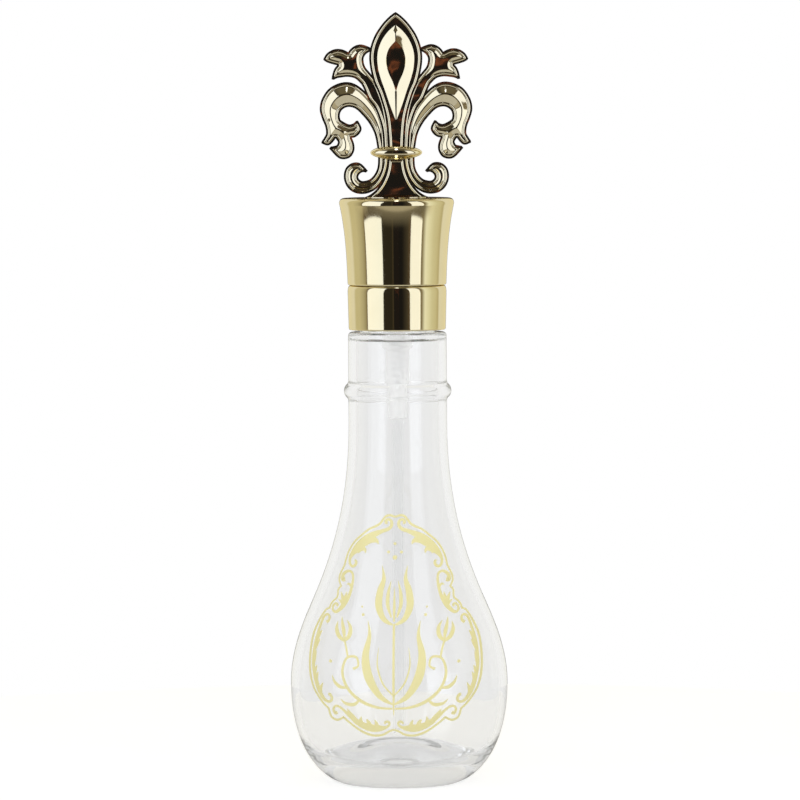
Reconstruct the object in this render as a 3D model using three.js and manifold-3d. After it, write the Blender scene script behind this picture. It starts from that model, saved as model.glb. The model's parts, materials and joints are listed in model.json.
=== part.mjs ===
// Glass cologne bottle with a screwed fine-mist pump, a gold collar and an overcap with a lily finial.
// Millimetres, +Z up, origin at the centre of the standing ring, nozzle and print towards -Y.
import * as THREE from 'three';
import { mergeVertices } from 'three/addons/utils/BufferGeometryUtils.js';
import Module from 'manifold-3d';

const wasm = await Module();
wasm.setup();

// Clearances
const SEAT_GAP = 0.1;
const FIT_GAP = 0.15;
const RUN_GAP = 0.25;

// Facets and curve steps
const LARGE_FACETS = 28;
const SMALL_FACETS = 16;
const BODY_STEPS = 5;
const EDGE_STEPS = 2;
const BALL_FACETS = 12;
const BALL_RINGS = 8;
const WIRE_SIDES = 5;
const COIL_STEPS = 8;

// A cubic curve whose two handles reach alike crests at this share of their reach
const CREST_SHARE = 0.75;

// How far a cutting tool runs past the face that it opens
const CUT_OVERRUN = 1;

// Glass bottle: radii, and heights that stack from the standing ring upwards
const STANDING_RADIUS = 20;
const STANDING_WIDTH = 4.5;
const PUSH_UP = 5.5;
const BODY_RADIUS = 37.3;
const BODY_RISE = 34.3;
const SLOPE_RADIUS = 28.6;
const SLOPE_RISE = 31.2;
const NECK_RISE = 58.5;
const BEAD_RISE = 11;
const BEAD_REACH = 1.5;
const BEAD_WIDTH = 5.2;
const SHOULDER_RISE = 20.2;
const SHOULDER_WIDTH = 4.1;
const SHOULDER_ROUND = 1.4;
const INNER_SHOULDER_DROP = 6;
const GLASS_WALL = 2.6;
const GLASS_FLOOR = 5;
const MOUTH_RADIUS = 10.4;
const FINISH_WALL = 2.4;
const FINISH_HEIGHT = 11.3;
const FINISH_CHAMFER = 0.5;

// Handles of the body's curves
const HEEL_REACH = 9;
const HEEL_LIFT = 2.6;
const BELLY_DROP = 20.3;
const BELLY_LIFT = 12.5;
const SLOPE_LEAN = 0.43;
const SLOPE_DROP = 8.6;
const SLOPE_LIFT = 18.4;
const NECK_DROP = 22;

// Screw closure and collar sleeve
const THREAD_DEPTH = 1;
const CLOSURE_WALL = 1.75;
const WEB_THICKNESS = 1.4;
const SKIRT_GAP = 0.8;
const SLEEVE_WALL = 0.7;
const SLEEVE_FLARE = 0.3;
const SLEEVE_ROUND = 0.6;
const BOSS_HEIGHT = 5.2;
const BOSS_LIP = 1.2;
const RISER_WALL = 1.3;

// Pump
const GASKET_THICKNESS = 1;
const GASKET_LAP = 2.4;
const FLANGE_THICKNESS = 1.2;
const FLANGE_INSET = 0.3;
const HUB_RADIUS = 5.3;
const HUB_LENGTH = 18.6;
const HUB_TAPER = 1.4;
const BARREL_RADIUS = 4.05;
const BARREL_LENGTH = 13.2;
const BORE_RADIUS = 3.1;
const TAIL_RADIUS = 3.3;
const TAIL_LENGTH = 10.4;
const TAIL_CHAMFER = 0.5;
const TUBE_RADIUS = 2.1;
const TUBE_WALL = 0.7;
const TUBE_GRIP = 8;
const TUBE_CLEARANCE = 2;
const TUBE_CUT_ANGLE = 35;
const THROAT_RADIUS = 1;
const SEAT_HEIGHT = 1;
const BALL_RADIUS = 1.5;
const BALL_ROOM = 0.3;
const POCKET_HEIGHT = 1.9;
const SPRING_WIRE = 0.6;
const SPRING_TURNS = 7;
const PISTON_LENGTH = 3.6;
const STEM_RADIUS = 1.6;
const STEM_BORE = 0.7;
const STEM_FOOT = 1.2;
const STEM_FOOT_INSET = 0.3;
const RETAINER_DEPTH = 9;
const RETAINER_RADIUS = 4.1;
const RETAINER_FLANGE_RADIUS = 6;
const RETAINER_FLANGE = 0.8;
const SEAL_RADIUS = 3;
const SEAL_HEIGHT = 1.4;

// Button and nozzle
const STROKE = 4.5;
const BUTTON_CLEARANCE = 0.6;
const BUTTON_RADIUS = 8;
const BUTTON_HEIGHT = 13;
const BUTTON_WALL = 1.1;
const BUTTON_TOP = 1.6;
const BUTTON_DISH = 0.8;
const BUTTON_ROUND = 1.2;
const SOCKET_WALL = 1.4;
const SOCKET_RECESS = 0.5;
const NOZZLE_DROP = 4.8;
const NOZZLE_RADIUS = 2;
const NOZZLE_DEPTH = 2.4;
const NOZZLE_SETBACK = 0.3;
const NOZZLE_ORIFICE = 0.3;
const NOZZLE_FACE = 0.8;
const NOZZLE_SKIRT = 0.7;
const FEED_RADIUS = 0.6;
const PAD_WALL = 1;

// Overcap and its liner
const PARTING_GAP = 0.2;
const CAP_WALL = 1.3;
const CAP_FLARE = 2.75;
const CAP_CROWN = 1.6;
const CAP_EDGE_ROUND = 1.4;
const CAP_LIP_ROUND = 0.3;
const CAP_LOW_HANDLE = { rise: 0.45, reach: 0.15 };
const CAP_HIGH_HANDLE = { rise: 0.7, reach: 0.35 };
const LINER_WALL = 1.2;
const LINER_TOP = 1.4;
const LINER_RECESS = 0.5;
const GRIP_HEIGHT = 3.5;
const HEADROOM = 6;
const TOWER_HEIGHT = 3.6;
const TOWER_WALL = 1.8;

// Lily finial: its height, and depths measured from its middle plane
const FINIAL_HEIGHT = 63.5;
const SPIGOT_RADIUS = 3;
const SPIGOT_ROOT = 6.35;
const LEAF_EDGE = 1.4;
const LEAF_RIM = 2.4;
const LEAF_CHANNEL = 1.7;
const PETAL_CROWN = 4.4;
const RING_DEPTH = 5;
const FOOT_DEPTH = 6;

// Radii that follow from the sizes above
const standingInner = STANDING_RADIUS - STANDING_WIDTH;
const finishRadius = MOUTH_RADIUS + FINISH_WALL;
const neckRadius = finishRadius + SHOULDER_WIDTH;
const flangeRadius = finishRadius - FLANGE_INSET;
const closureInner = finishRadius + THREAD_DEPTH + RUN_GAP;
const closureOuter = closureInner + CLOSURE_WALL;
const sleeveInner = closureOuter + FIT_GAP;
const sleeveFootRadius = sleeveInner + SLEEVE_WALL;
const sleeveTopRadius = sleeveFootRadius + SLEEVE_FLARE;
const bossHole = BUTTON_RADIUS + RUN_GAP;
const riserInner = bossHole + BOSS_LIP;
const riserOuter = riserInner + RISER_WALL;
const bossInner = riserOuter + FIT_GAP;
const bossRadius = bossInner + SLEEVE_WALL;
const retainerBore = RETAINER_RADIUS + FIT_GAP;
const webHole = RETAINER_FLANGE_RADIUS + RUN_GAP;
const stemHole = STEM_RADIUS + RUN_GAP;
const ballPocket = BALL_RADIUS + BALL_ROOM;
const springRadius = (ballPocket + BORE_RADIUS) / 2;
const tubeBore = TUBE_RADIUS + SEAT_GAP;
const stemSocket = STEM_RADIUS + FIT_GAP;
const nozzlePocket = NOZZLE_RADIUS + FIT_GAP;
const capInner = sleeveTopRadius - CAP_WALL;
const capTopRadius = sleeveTopRadius + CAP_FLARE;
const linerOuter = capInner - FIT_GAP;
const linerInner = linerOuter - LINER_WALL;
const gripRadius = bossRadius + RUN_GAP;
const spigotHole = SPIGOT_RADIUS + FIT_GAP;

// Heights that follow from the sizes above
const slopeTop = BODY_RISE + SLOPE_RISE;
const neckFoot = slopeTop + NECK_RISE;
const beadMiddle = neckFoot + BEAD_RISE;
const shoulderTop = beadMiddle + SHOULDER_RISE;
const landTop = shoulderTop + FINISH_HEIGHT;
const gasketBottom = landTop + SEAT_GAP;
const flangeBottom = gasketBottom + GASKET_THICKNESS + SEAT_GAP;
const flangeTop = flangeBottom + FLANGE_THICKNESS;
const hubBottom = flangeBottom - HUB_LENGTH;
const barrelBottom = hubBottom - BARREL_LENGTH;
const tailBottom = barrelBottom - TAIL_LENGTH;
const tubeStop = tailBottom + TUBE_GRIP;
const seatBottom = barrelBottom;
const pocketBottom = seatBottom + SEAT_HEIGHT;
const springLedge = pocketBottom + POCKET_HEIGHT;
const retainerStop = flangeTop - RETAINER_DEPTH;
const pistonBottom = retainerStop - PISTON_LENGTH;
const stemFootTop = pistonBottom - SEAT_GAP;
const stemFootBottom = stemFootTop - STEM_FOOT;
const retainerTop = flangeTop + SEAT_GAP + RETAINER_FLANGE;
const webBottom = flangeTop + SEAT_GAP;
const webTop = webBottom + WEB_THICKNESS;
const sleeveTop = webTop + SEAT_GAP + SLEEVE_WALL;
const skirtBottom = shoulderTop + SKIRT_GAP;
const bossTop = sleeveTop + BOSS_HEIGHT;
const buttonBottom = webTop + STROKE + BUTTON_CLEARANCE;
const buttonTop = buttonBottom + BUTTON_HEIGHT;
const nozzleHeight = buttonTop - NOZZLE_DROP;
const stemTop = nozzleHeight - nozzlePocket - PAD_WALL;
const capBottom = sleeveTop + PARTING_GAP;
const linerBottom = capBottom + LINER_RECESS;
const linerCeiling = buttonTop + HEADROOM;
const towerTop = linerCeiling + LINER_TOP + TOWER_HEIGHT;
const capTop = towerTop + SEAT_GAP + CAP_CROWN;
const finialBottom = capTop + SEAT_GAP;

// Welds a geometry into one closed skin with its faces pointing out
function closedSkin(geometry) {
  geometry.deleteAttribute('normal');
  geometry.deleteAttribute('uv');
  const skin = mergeVertices(geometry);
  const corners = [];
  let volume = 0;
  const [a, b, c] = [new THREE.Vector3(), new THREE.Vector3(), new THREE.Vector3()];
  for (let i = 0; i < skin.index.count; i += 3) {
    const face = [skin.index.getX(i), skin.index.getX(i + 1), skin.index.getX(i + 2)];
    if (new Set(face).size < 3) continue;
    corners.push(...face);
    [a, b, c].forEach((corner, k) => corner.fromBufferAttribute(skin.attributes.position, face[k]));
    volume += a.dot(b.cross(c));
  }
  skin.setIndex(volume < 0 ? corners.reverse() : corners);
  return skin;
}

// A profile of [radius, height] points or a path, turned about the Z axis
function revolve(profile, facets, steps = EDGE_STEPS) {
  const points = Array.isArray(profile) ? profile.map(([r, z]) => new THREE.Vector2(r, z)) : profile.getPoints(steps);
  const geometry = new THREE.LatheGeometry(points, facets);
  geometry.rotateX(Math.PI / 2);
  return closedSkin(geometry);
}

// A closed ring section: the first point is repeated at the end
function revolveRing(profile, facets) {
  return revolve([...profile, profile[0]], facets);
}

function toSolid(geometry) {
  const vertProperties = Float32Array.from(geometry.attributes.position.array);
  const triVerts = Uint32Array.from(geometry.index.array);
  return new wasm.Manifold(new wasm.Mesh({ numProp: 3, vertProperties, triVerts }));
}

function toGeometry(solid) {
  const mesh = solid.getMesh();
  const geometry = new THREE.BufferGeometry();
  geometry.setAttribute('position', new THREE.BufferAttribute(mesh.vertProperties, 3));
  geometry.setIndex(new THREE.BufferAttribute(mesh.triVerts, 1));
  return geometry;
}

function joined(geometries) {
  return toGeometry(geometries.map(toSolid).reduce((whole, piece) => whole.add(piece)));
}

function cut(geometry, cutters) {
  return toGeometry(cutters.map(toSolid).reduce((whole, cutter) => whole.subtract(cutter), toSolid(geometry)));
}

// A cylinder along the Z axis between two heights
function rod(radius, bottom, top, facets = SMALL_FACETS) {
  return revolve([[0, bottom], [radius, bottom], [radius, top], [0, top]], facets);
}

// The side of the bottle from its heel to the foot of the neck, set in by a wall's thickness
function bodySide(inset, heelHeight) {
  const lean = new THREE.Vector2(-SLOPE_LEAN, 1);
  const slope = new THREE.Vector2(SLOPE_RADIUS - inset, slopeTop);
  const below = slope.clone().addScaledVector(lean, -SLOPE_DROP);
  const above = slope.clone().addScaledVector(lean, SLOPE_LIFT);
  const body = BODY_RADIUS - inset;
  const neck = neckRadius - inset;
  const heelReach = STANDING_RADIUS + HEEL_REACH;
  const side = new THREE.Path();
  side.moveTo(STANDING_RADIUS, heelHeight);
  side.bezierCurveTo(heelReach, heelHeight + HEEL_LIFT, body, BODY_RISE - BELLY_DROP, body, BODY_RISE);
  side.bezierCurveTo(body, BODY_RISE + BELLY_LIFT, below.x, below.y, slope.x, slope.y);
  side.bezierCurveTo(above.x, above.y, neck, neckFoot - NECK_DROP, neck, neckFoot);
  return side.getPoints(BODY_STEPS);
}

// The domed base, the swelling side, the beaded neck, the shoulder, the finish and the hollow inside
function glassBottle() {
  const base = new THREE.Path();
  base.moveTo(0, PUSH_UP);
  base.quadraticCurveTo(standingInner / 2, PUSH_UP, standingInner, 0);

  const beadReach = neckRadius + BEAD_REACH / CREST_SHARE;
  const beadFoot = beadMiddle - BEAD_WIDTH / 2;
  const beadHead = beadMiddle + BEAD_WIDTH / 2;
  const beadSwell = BEAD_WIDTH / 4;
  const neck = new THREE.Path();
  neck.moveTo(neckRadius, beadFoot);
  neck.bezierCurveTo(beadReach, beadFoot + beadSwell, beadReach, beadHead - beadSwell, neckRadius, beadHead);
  neck.lineTo(neckRadius, shoulderTop - SHOULDER_ROUND);
  neck.quadraticCurveTo(neckRadius, shoulderTop, neckRadius - SHOULDER_ROUND, shoulderTop);
  neck.lineTo(finishRadius, shoulderTop);
  neck.lineTo(finishRadius, landTop - FINISH_CHAMFER);
  neck.lineTo(finishRadius - FINISH_CHAMFER, landTop);
  neck.lineTo(MOUTH_RADIUS, landTop);

  const innerNeck = neckRadius - GLASS_WALL;
  const innerShoulder = shoulderTop - GLASS_WALL;
  const inside = new THREE.Path();
  inside.moveTo(MOUTH_RADIUS, innerShoulder);
  inside.quadraticCurveTo(innerNeck, innerShoulder, innerNeck, innerShoulder - INNER_SHOULDER_DROP);

  const floor = new THREE.Path();
  floor.moveTo(STANDING_RADIUS, GLASS_FLOOR);
  floor.quadraticCurveTo(standingInner / 2, PUSH_UP + GLASS_FLOOR, 0, PUSH_UP + GLASS_FLOOR);

  const profile = [
    ...base.getPoints(EDGE_STEPS),
    ...bodySide(0, 0),
    ...neck.getPoints(BODY_STEPS),
    ...inside.getPoints(EDGE_STEPS),
    ...bodySide(GLASS_WALL, GLASS_FLOOR).reverse(),
    ...floor.getPoints(EDGE_STEPS),
  ];
  return revolve(profile.map((point) => [point.x, point.y]), LARGE_FACETS);
}

function neckGasket() {
  return revolveRing([
    [MOUTH_RADIUS - GASKET_LAP, gasketBottom],
    [flangeRadius, gasketBottom],
    [flangeRadius, gasketBottom + GASKET_THICKNESS],
    [MOUTH_RADIUS - GASKET_LAP, gasketBottom + GASKET_THICKNESS],
  ], LARGE_FACETS);
}

// Flanged hub, stepped barrel and tail, bored for the retainer, the piston, the ball and the dip tube
function pumpHousing() {
  return revolveRing([
    [retainerBore, flangeTop],
    [flangeRadius, flangeTop],
    [flangeRadius, flangeBottom],
    [HUB_RADIUS, flangeBottom],
    [HUB_RADIUS, hubBottom + HUB_TAPER],
    [BARREL_RADIUS, hubBottom],
    [BARREL_RADIUS, barrelBottom + TAIL_CHAMFER],
    [TAIL_RADIUS, barrelBottom],
    [TAIL_RADIUS, tailBottom + TAIL_CHAMFER],
    [TAIL_RADIUS - TAIL_CHAMFER, tailBottom],
    [tubeBore, tailBottom],
    [tubeBore, tubeStop],
    [THROAT_RADIUS, tubeStop],
    [THROAT_RADIUS, seatBottom],
    [ballPocket, pocketBottom],
    [ballPocket, springLedge],
    [BORE_RADIUS, springLedge],
    [BORE_RADIUS, retainerStop],
    [retainerBore, retainerStop],
  ], SMALL_FACETS);
}

function pumpRetainer() {
  const sealSeat = retainerTop - SEAL_HEIGHT - SEAT_GAP;
  return revolveRing([
    [stemHole, retainerStop + SEAT_GAP],
    [RETAINER_RADIUS, retainerStop + SEAT_GAP],
    [RETAINER_RADIUS, webBottom],
    [RETAINER_FLANGE_RADIUS, webBottom],
    [RETAINER_FLANGE_RADIUS, retainerTop],
    [SEAL_RADIUS + FIT_GAP, retainerTop],
    [SEAL_RADIUS + FIT_GAP, sealSeat],
    [stemHole, sealSeat],
  ], SMALL_FACETS);
}

// A wiper ring with its lip towards the stem
function stemSeal() {
  const lip = STEM_RADIUS + SEAT_GAP;
  const bottom = retainerTop - SEAL_HEIGHT;
  return revolveRing([
    [stemHole, bottom],
    [SEAL_RADIUS, bottom],
    [SEAL_RADIUS, retainerTop],
    [stemHole, retainerTop],
    [lip, bottom + SEAL_HEIGHT / 2],
  ], SMALL_FACETS);
}

// A straight tube with a slanted foot
function dipTube() {
  const bottom = PUSH_UP + GLASS_FLOOR + TUBE_CLEARANCE;
  const top = tubeStop - SEAT_GAP;
  const bore = TUBE_RADIUS - TUBE_WALL;
  const tube = revolveRing([[bore, bottom], [TUBE_RADIUS, bottom], [TUBE_RADIUS, top], [bore, top]], SMALL_FACETS);
  const slant = THREE.MathUtils.degToRad(TUBE_CUT_ANGLE);
  const side = 2 * TUBE_RADIUS / Math.cos(slant) + 2 * CUT_OVERRUN;
  const wedge = new THREE.BoxGeometry(side, side, side);
  wedge.translate(side / 2, 0, -side / 2);
  wedge.rotateY(-slant);
  wedge.translate(-TUBE_RADIUS, 0, bottom);
  return cut(tube, [closedSkin(wedge)]);
}

// The ball rests on the cone between the throat and its pocket
function inletBall() {
  const cone = new THREE.Vector2(ballPocket - THROAT_RADIUS, SEAT_HEIGHT);
  const rise = ((BALL_RADIUS + SEAT_GAP) * cone.length() - THROAT_RADIUS * cone.y) / cone.x;
  const ball = new THREE.SphereGeometry(BALL_RADIUS, BALL_FACETS, BALL_RINGS);
  ball.rotateX(Math.PI / 2);
  ball.translate(0, 0, seatBottom + rise);
  return closedSkin(ball);
}

class Helix extends THREE.Curve {
  constructor(radius, turns, bottom, top) {
    super();
    Object.assign(this, { radius, turns, bottom, top });
  }

  getPoint(t, target = new THREE.Vector3()) {
    const angle = t * this.turns * Math.PI * 2;
    const height = THREE.MathUtils.lerp(this.bottom, this.top, t);
    return target.set(this.radius * Math.cos(angle), this.radius * Math.sin(angle), height);
  }
}

// Least room between points of a coil that lie half a turn or more apart
function leastGap(path, steps) {
  const points = path.getPoints(steps);
  let least = Infinity;
  points.forEach((point, i) => {
    for (let k = i + COIL_STEPS / 2; k < points.length; k += 1) least = Math.min(least, point.distanceTo(points[k]));
  });
  return least - SPRING_WIRE;
}

function returnSpring() {
  const wire = SPRING_WIRE / 2;
  const bottom = springLedge + SEAT_GAP + wire;
  const top = stemFootBottom - SEAT_GAP - wire;
  const path = new Helix(springRadius, SPRING_TURNS, bottom, top);
  const section = new THREE.Shape();
  for (let i = 0; i < WIRE_SIDES; i += 1) {
    const angle = i / WIRE_SIDES * Math.PI * 2;
    const corner = [wire * Math.cos(angle), wire * Math.sin(angle)];
    if (i === 0) section.moveTo(...corner);
    else section.lineTo(...corner);
  }
  section.closePath();
  const steps = COIL_STEPS * SPRING_TURNS;
  console.log(`return_spring: least gap between coils ${leastGap(path, steps).toFixed(2)} mm`);
  return closedSkin(new THREE.ExtrudeGeometry(section, { steps, extrudePath: path, bevelEnabled: false }));
}

// A hollow stem with a closed foot under the piston
function stem() {
  return revolve([
    [0, stemFootBottom],
    [BORE_RADIUS - STEM_FOOT_INSET, stemFootBottom],
    [BORE_RADIUS - STEM_FOOT_INSET, stemFootTop],
    [STEM_RADIUS, stemFootTop],
    [STEM_RADIUS, stemTop],
    [STEM_BORE, stemTop],
    [STEM_BORE, pistonBottom],
    [0, pistonBottom],
  ], SMALL_FACETS);
}

// A sleeve with a wiping lip at each end
function piston() {
  const rim = BORE_RADIUS - SEAT_GAP;
  const waist = rim - FIT_GAP;
  const bore = STEM_RADIUS + SEAT_GAP;
  const lip = PISTON_LENGTH / 4;
  return revolveRing([
    [bore, pistonBottom],
    [rim, pistonBottom],
    [waist, pistonBottom + lip],
    [waist, retainerStop - lip],
    [rim, retainerStop],
    [bore, retainerStop],
  ], SMALL_FACETS);
}

function closureRing() {
  const riserTop = bossTop - SLEEVE_WALL - SEAT_GAP;
  const skirtFoot = skirtBottom + SLEEVE_WALL;
  return revolveRing([
    [closureInner, skirtFoot],
    [closureOuter, skirtFoot],
    [closureOuter, webTop],
    [riserOuter, webTop],
    [riserOuter, riserTop],
    [riserInner, riserTop],
    [riserInner, webTop],
    [webHole, webTop],
    [webHole, webBottom],
    [closureInner, webBottom],
  ], LARGE_FACETS);
}

// A thin drawn shell: curled foot, flaring skirt, stepped boss with a turned-in lip
function collarSleeve() {
  const shell = new THREE.Path();
  shell.moveTo(sleeveInner, skirtBottom);
  shell.quadraticCurveTo(sleeveFootRadius, skirtBottom, sleeveFootRadius, skirtBottom + SLEEVE_WALL);
  shell.lineTo(sleeveTopRadius, sleeveTop - SLEEVE_ROUND);
  shell.quadraticCurveTo(sleeveTopRadius, sleeveTop, sleeveTopRadius - SLEEVE_ROUND, sleeveTop);
  shell.lineTo(bossRadius, sleeveTop);
  shell.lineTo(bossRadius, bossTop - SLEEVE_ROUND);
  shell.quadraticCurveTo(bossRadius, bossTop, bossRadius - SLEEVE_ROUND, bossTop);
  shell.lineTo(bossHole, bossTop);
  shell.lineTo(bossHole, bossTop - SLEEVE_WALL);
  shell.lineTo(bossInner, bossTop - SLEEVE_WALL);
  shell.lineTo(bossInner, sleeveTop - SLEEVE_WALL);
  shell.lineTo(sleeveInner, sleeveTop - SLEEVE_WALL);
  shell.closePath();
  return revolve(shell, LARGE_FACETS);
}

// A dished button with a stem socket, a feed channel and the nozzle's pocket in its front
function actuatorButton() {
  const socketRadius = stemSocket + SOCKET_WALL;
  const underside = buttonTop - BUTTON_DISH - BUTTON_TOP;
  const body = new THREE.Path();
  body.moveTo(0, buttonTop - BUTTON_DISH);
  body.quadraticCurveTo(BUTTON_RADIUS / 2, buttonTop - BUTTON_DISH, BUTTON_RADIUS - BUTTON_ROUND, buttonTop);
  body.quadraticCurveTo(BUTTON_RADIUS, buttonTop, BUTTON_RADIUS, buttonTop - BUTTON_ROUND);
  body.lineTo(BUTTON_RADIUS, buttonBottom);
  body.lineTo(BUTTON_RADIUS - BUTTON_WALL, buttonBottom);
  body.lineTo(BUTTON_RADIUS - BUTTON_WALL, underside);
  body.lineTo(socketRadius, underside);
  body.lineTo(socketRadius, buttonBottom + SOCKET_RECESS);
  body.lineTo(0, buttonBottom + SOCKET_RECESS);

  const pad = rod(nozzlePocket + PAD_WALL, 0, BUTTON_RADIUS - BUTTON_WALL / 2);
  const channel = rod(FEED_RADIUS, 0, BUTTON_RADIUS);
  const pocketFloor = BUTTON_RADIUS - NOZZLE_SETBACK - NOZZLE_DEPTH - SEAT_GAP;
  const pocket = rod(nozzlePocket, pocketFloor, BUTTON_RADIUS + CUT_OVERRUN);
  [pad, channel, pocket].forEach((piece) => piece.rotateX(Math.PI / 2).translate(0, 0, nozzleHeight));
  const socket = rod(stemSocket, buttonBottom, stemTop + SEAT_GAP);
  const riser = rod(FEED_RADIUS, stemTop, nozzleHeight);
  return cut(joined([revolve(body, LARGE_FACETS), pad]), [socket, riser, channel, pocket]);
}

// A cup with a fine orifice in its front face
function nozzleInsert() {
  const front = BUTTON_RADIUS - NOZZLE_SETBACK;
  const insert = revolveRing([
    [NOZZLE_ORIFICE, front - NOZZLE_FACE],
    [NOZZLE_ORIFICE, front],
    [NOZZLE_RADIUS, front],
    [NOZZLE_RADIUS, front - NOZZLE_DEPTH],
    [NOZZLE_RADIUS - NOZZLE_SKIRT, front - NOZZLE_DEPTH],
    [NOZZLE_RADIUS - NOZZLE_SKIRT, front - NOZZLE_FACE],
  ], SMALL_FACETS);
  insert.rotateX(Math.PI / 2);
  insert.translate(0, 0, nozzleHeight);
  return insert;
}

// A shell that flares to its top edge, with a hole in its crown for the finial's spigot
function capShell() {
  const edgeFoot = capTop - CAP_EDGE_ROUND;
  const lowHandle = THREE.MathUtils.lerp(capBottom, edgeFoot, CAP_LOW_HANDLE.rise);
  const highHandle = THREE.MathUtils.lerp(capBottom, edgeFoot, CAP_HIGH_HANDLE.rise);
  const lowReach = CAP_FLARE * CAP_LOW_HANDLE.reach;
  const highReach = CAP_FLARE * CAP_HIGH_HANDLE.reach;
  const crownFoot = capTop - CAP_CROWN;
  const shell = new THREE.Path();
  shell.moveTo(capInner, capBottom);
  shell.lineTo(sleeveTopRadius - CAP_LIP_ROUND, capBottom);
  shell.lineTo(sleeveTopRadius, capBottom + CAP_LIP_ROUND);
  shell.bezierCurveTo(
    sleeveTopRadius + lowReach, lowHandle, sleeveTopRadius + highReach, highHandle, capTopRadius, edgeFoot);
  shell.quadraticCurveTo(capTopRadius, capTop, capTopRadius - CAP_EDGE_ROUND, capTop);
  shell.lineTo(spigotHole, capTop);
  shell.lineTo(spigotHole, crownFoot);
  shell.lineTo(capTopRadius - CAP_WALL - CAP_EDGE_ROUND, crownFoot);
  shell.bezierCurveTo(capInner + highReach, highHandle, capInner + lowReach, lowHandle, capInner, capBottom);
  return revolve(shell, LARGE_FACETS, BODY_STEPS);
}

// An inner cup: grip ring for the collar's boss, ceiling over the button and a tower for the spigot
function capLiner() {
  const towerRadius = spigotHole + TOWER_WALL;
  return revolveRing([
    [gripRadius, linerBottom],
    [linerOuter, linerBottom],
    [linerOuter, linerCeiling + LINER_TOP],
    [towerRadius, linerCeiling + LINER_TOP],
    [towerRadius, towerTop],
    [spigotHole, towerTop],
    [spigotHole, linerCeiling],
    [linerInner, linerCeiling],
    [linerInner, linerBottom + GRIP_HEIGHT],
    [gripRadius, linerBottom + GRIP_HEIGHT],
  ], LARGE_FACETS);
}

// The finial is drawn in millimetres above its foot at this height and scaled to its own height
const DRAWN_HEIGHT = 63.5;

// Leaves of one side, as pairs of points on their two edges from root to tip: [reach, height]
const UPPER_LEAF = [
  [[4, 16], [2.2, 16]], [[4.5, 23.5], [2.6, 24]], [[6.6, 30.2], [3.6, 30.6]], [[9.1, 33.8], [5, 35.2]],
  [[10.9, 38], [6.8, 39.3]], [[13, 41.6], [9, 42.2]], [[15.2, 45], [10.9, 44.6]], [[16.2, 48.6], [11.5, 47.2]],
  [[14.6, 51.1], [11, 48.8]], [[11.8, 52], [9.9, 49.9]], [[8.2, 50.7], [8.2, 50.7]],
];
const UPPER_LEAF_OUTER_LOBE = [
  [[13.5, 47.5], [13.5, 43.5]], [[16.2, 49.3], [16.8, 45]], [[18.6, 50.4], [19.3, 45.6]],
  [[21, 50.4], [21.3, 46.1]], [[23.2, 49.2], [23.2, 46.7]], [[24.4, 47.4], [24.4, 47.4]],
];
const UPPER_LEAF_LOWER_LOBE = [
  [[12.6, 45.5], [11.2, 38.8]], [[15.6, 46], [13.6, 41.1]], [[18.2, 45.9], [16.2, 41.8]],
  [[20, 44.8], [18.8, 41.6]], [[21, 43.2], [20.4, 41.3]], [[21.6, 40.7], [21.6, 40.7]],
];
const LOWER_LEAF_OUTER = [
  [[3.7, 16], [5.2, 16]], [[4.2, 23.8], [6.4, 22.5]], [[6, 29.6], [8.6, 29.2]], [[8.7, 33.6], [11.2, 32.3]],
  [[12.2, 37.2], [13.2, 34]], [[15.5, 39], [15.6, 35.1]], [[19, 38.9], [18.6, 35]], [[22.6, 37.1], [21, 33.6]],
  [[25, 33.7], [22.3, 31.3]], [[25.7, 30.4], [22.6, 29]], [[25, 27.4], [22, 26.2]], [[23.9, 24.6], [21, 24.2]],
  [[23.6, 22], [20.6, 21.6]], [[24.4, 20.3], [23, 18.5]], [[25.3, 19], [25.3, 19]],
];
const LOWER_LEAF_INNER = [
  [[5, 16], [5.9, 16]], [[6.2, 23], [6.9, 21.6]], [[8.4, 29.6], [8.9, 25.7]], [[11, 32.7], [11.6, 29]],
  [[13.1, 34.5], [13.6, 30.8]], [[15.6, 35.5], [15.6, 31.5]], [[18.8, 35.4], [17.4, 31.3]],
  [[21.4, 34], [18.9, 30.3]], [[22.8, 31.5], [19.6, 29]], [[23, 29], [19.7, 27.4]], [[22.4, 26], [19, 25.4]],
  [[21.3, 23.8], [17.6, 23.2]], [[20.6, 21], [16, 21]], [[19.6, 19.3], [14.9, 18.4]], [[19.8, 18.2], [14.9, 16]],
  [[20.3, 17.6], [16.4, 14]], [[21.3, 17.3], [19.4, 13.9]], [[22.6, 17.1], [22.6, 17.1]],
];
const LOWER_LEAF_HOOK = [
  [[20.2, 27], [18.6, 22.8]], [[18.4, 25.7], [16.6, 21.4]], [[16.3, 24.7], [14.6, 21]],
  [[14.8, 24.9], [12.9, 22.2]], [[13.9, 25.5], [12.3, 23.8]], [[13.4, 26.1], [13.4, 26.1]],
];
const FOOT_VOLUTE = [
  [[3.4, 14.5], [5.9, 14.5]], [[3.6, 11.5], [6, 11.2]], [[4.1, 8.6], [6.5, 9.1]], [[5.3, 6], [7.7, 7.1]],
  [[7.2, 3.6], [9.2, 5.8]], [[9.4, 2.1], [10.8, 5.3]], [[12.2, 1.7], [12, 5.3]], [[14.8, 2.4], [12.9, 5.8]],
  [[16.7, 4.2], [13.4, 6.5]], [[17.6, 6.9], [13.5, 7.3]], [[17.1, 9.7], [13.1, 8.2]], [[15.2, 11.4], [12.3, 8.9]],
  [[12.6, 11.4], [11.4, 9.2]], [[10.2, 9], [10.2, 9]],
];

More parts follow.
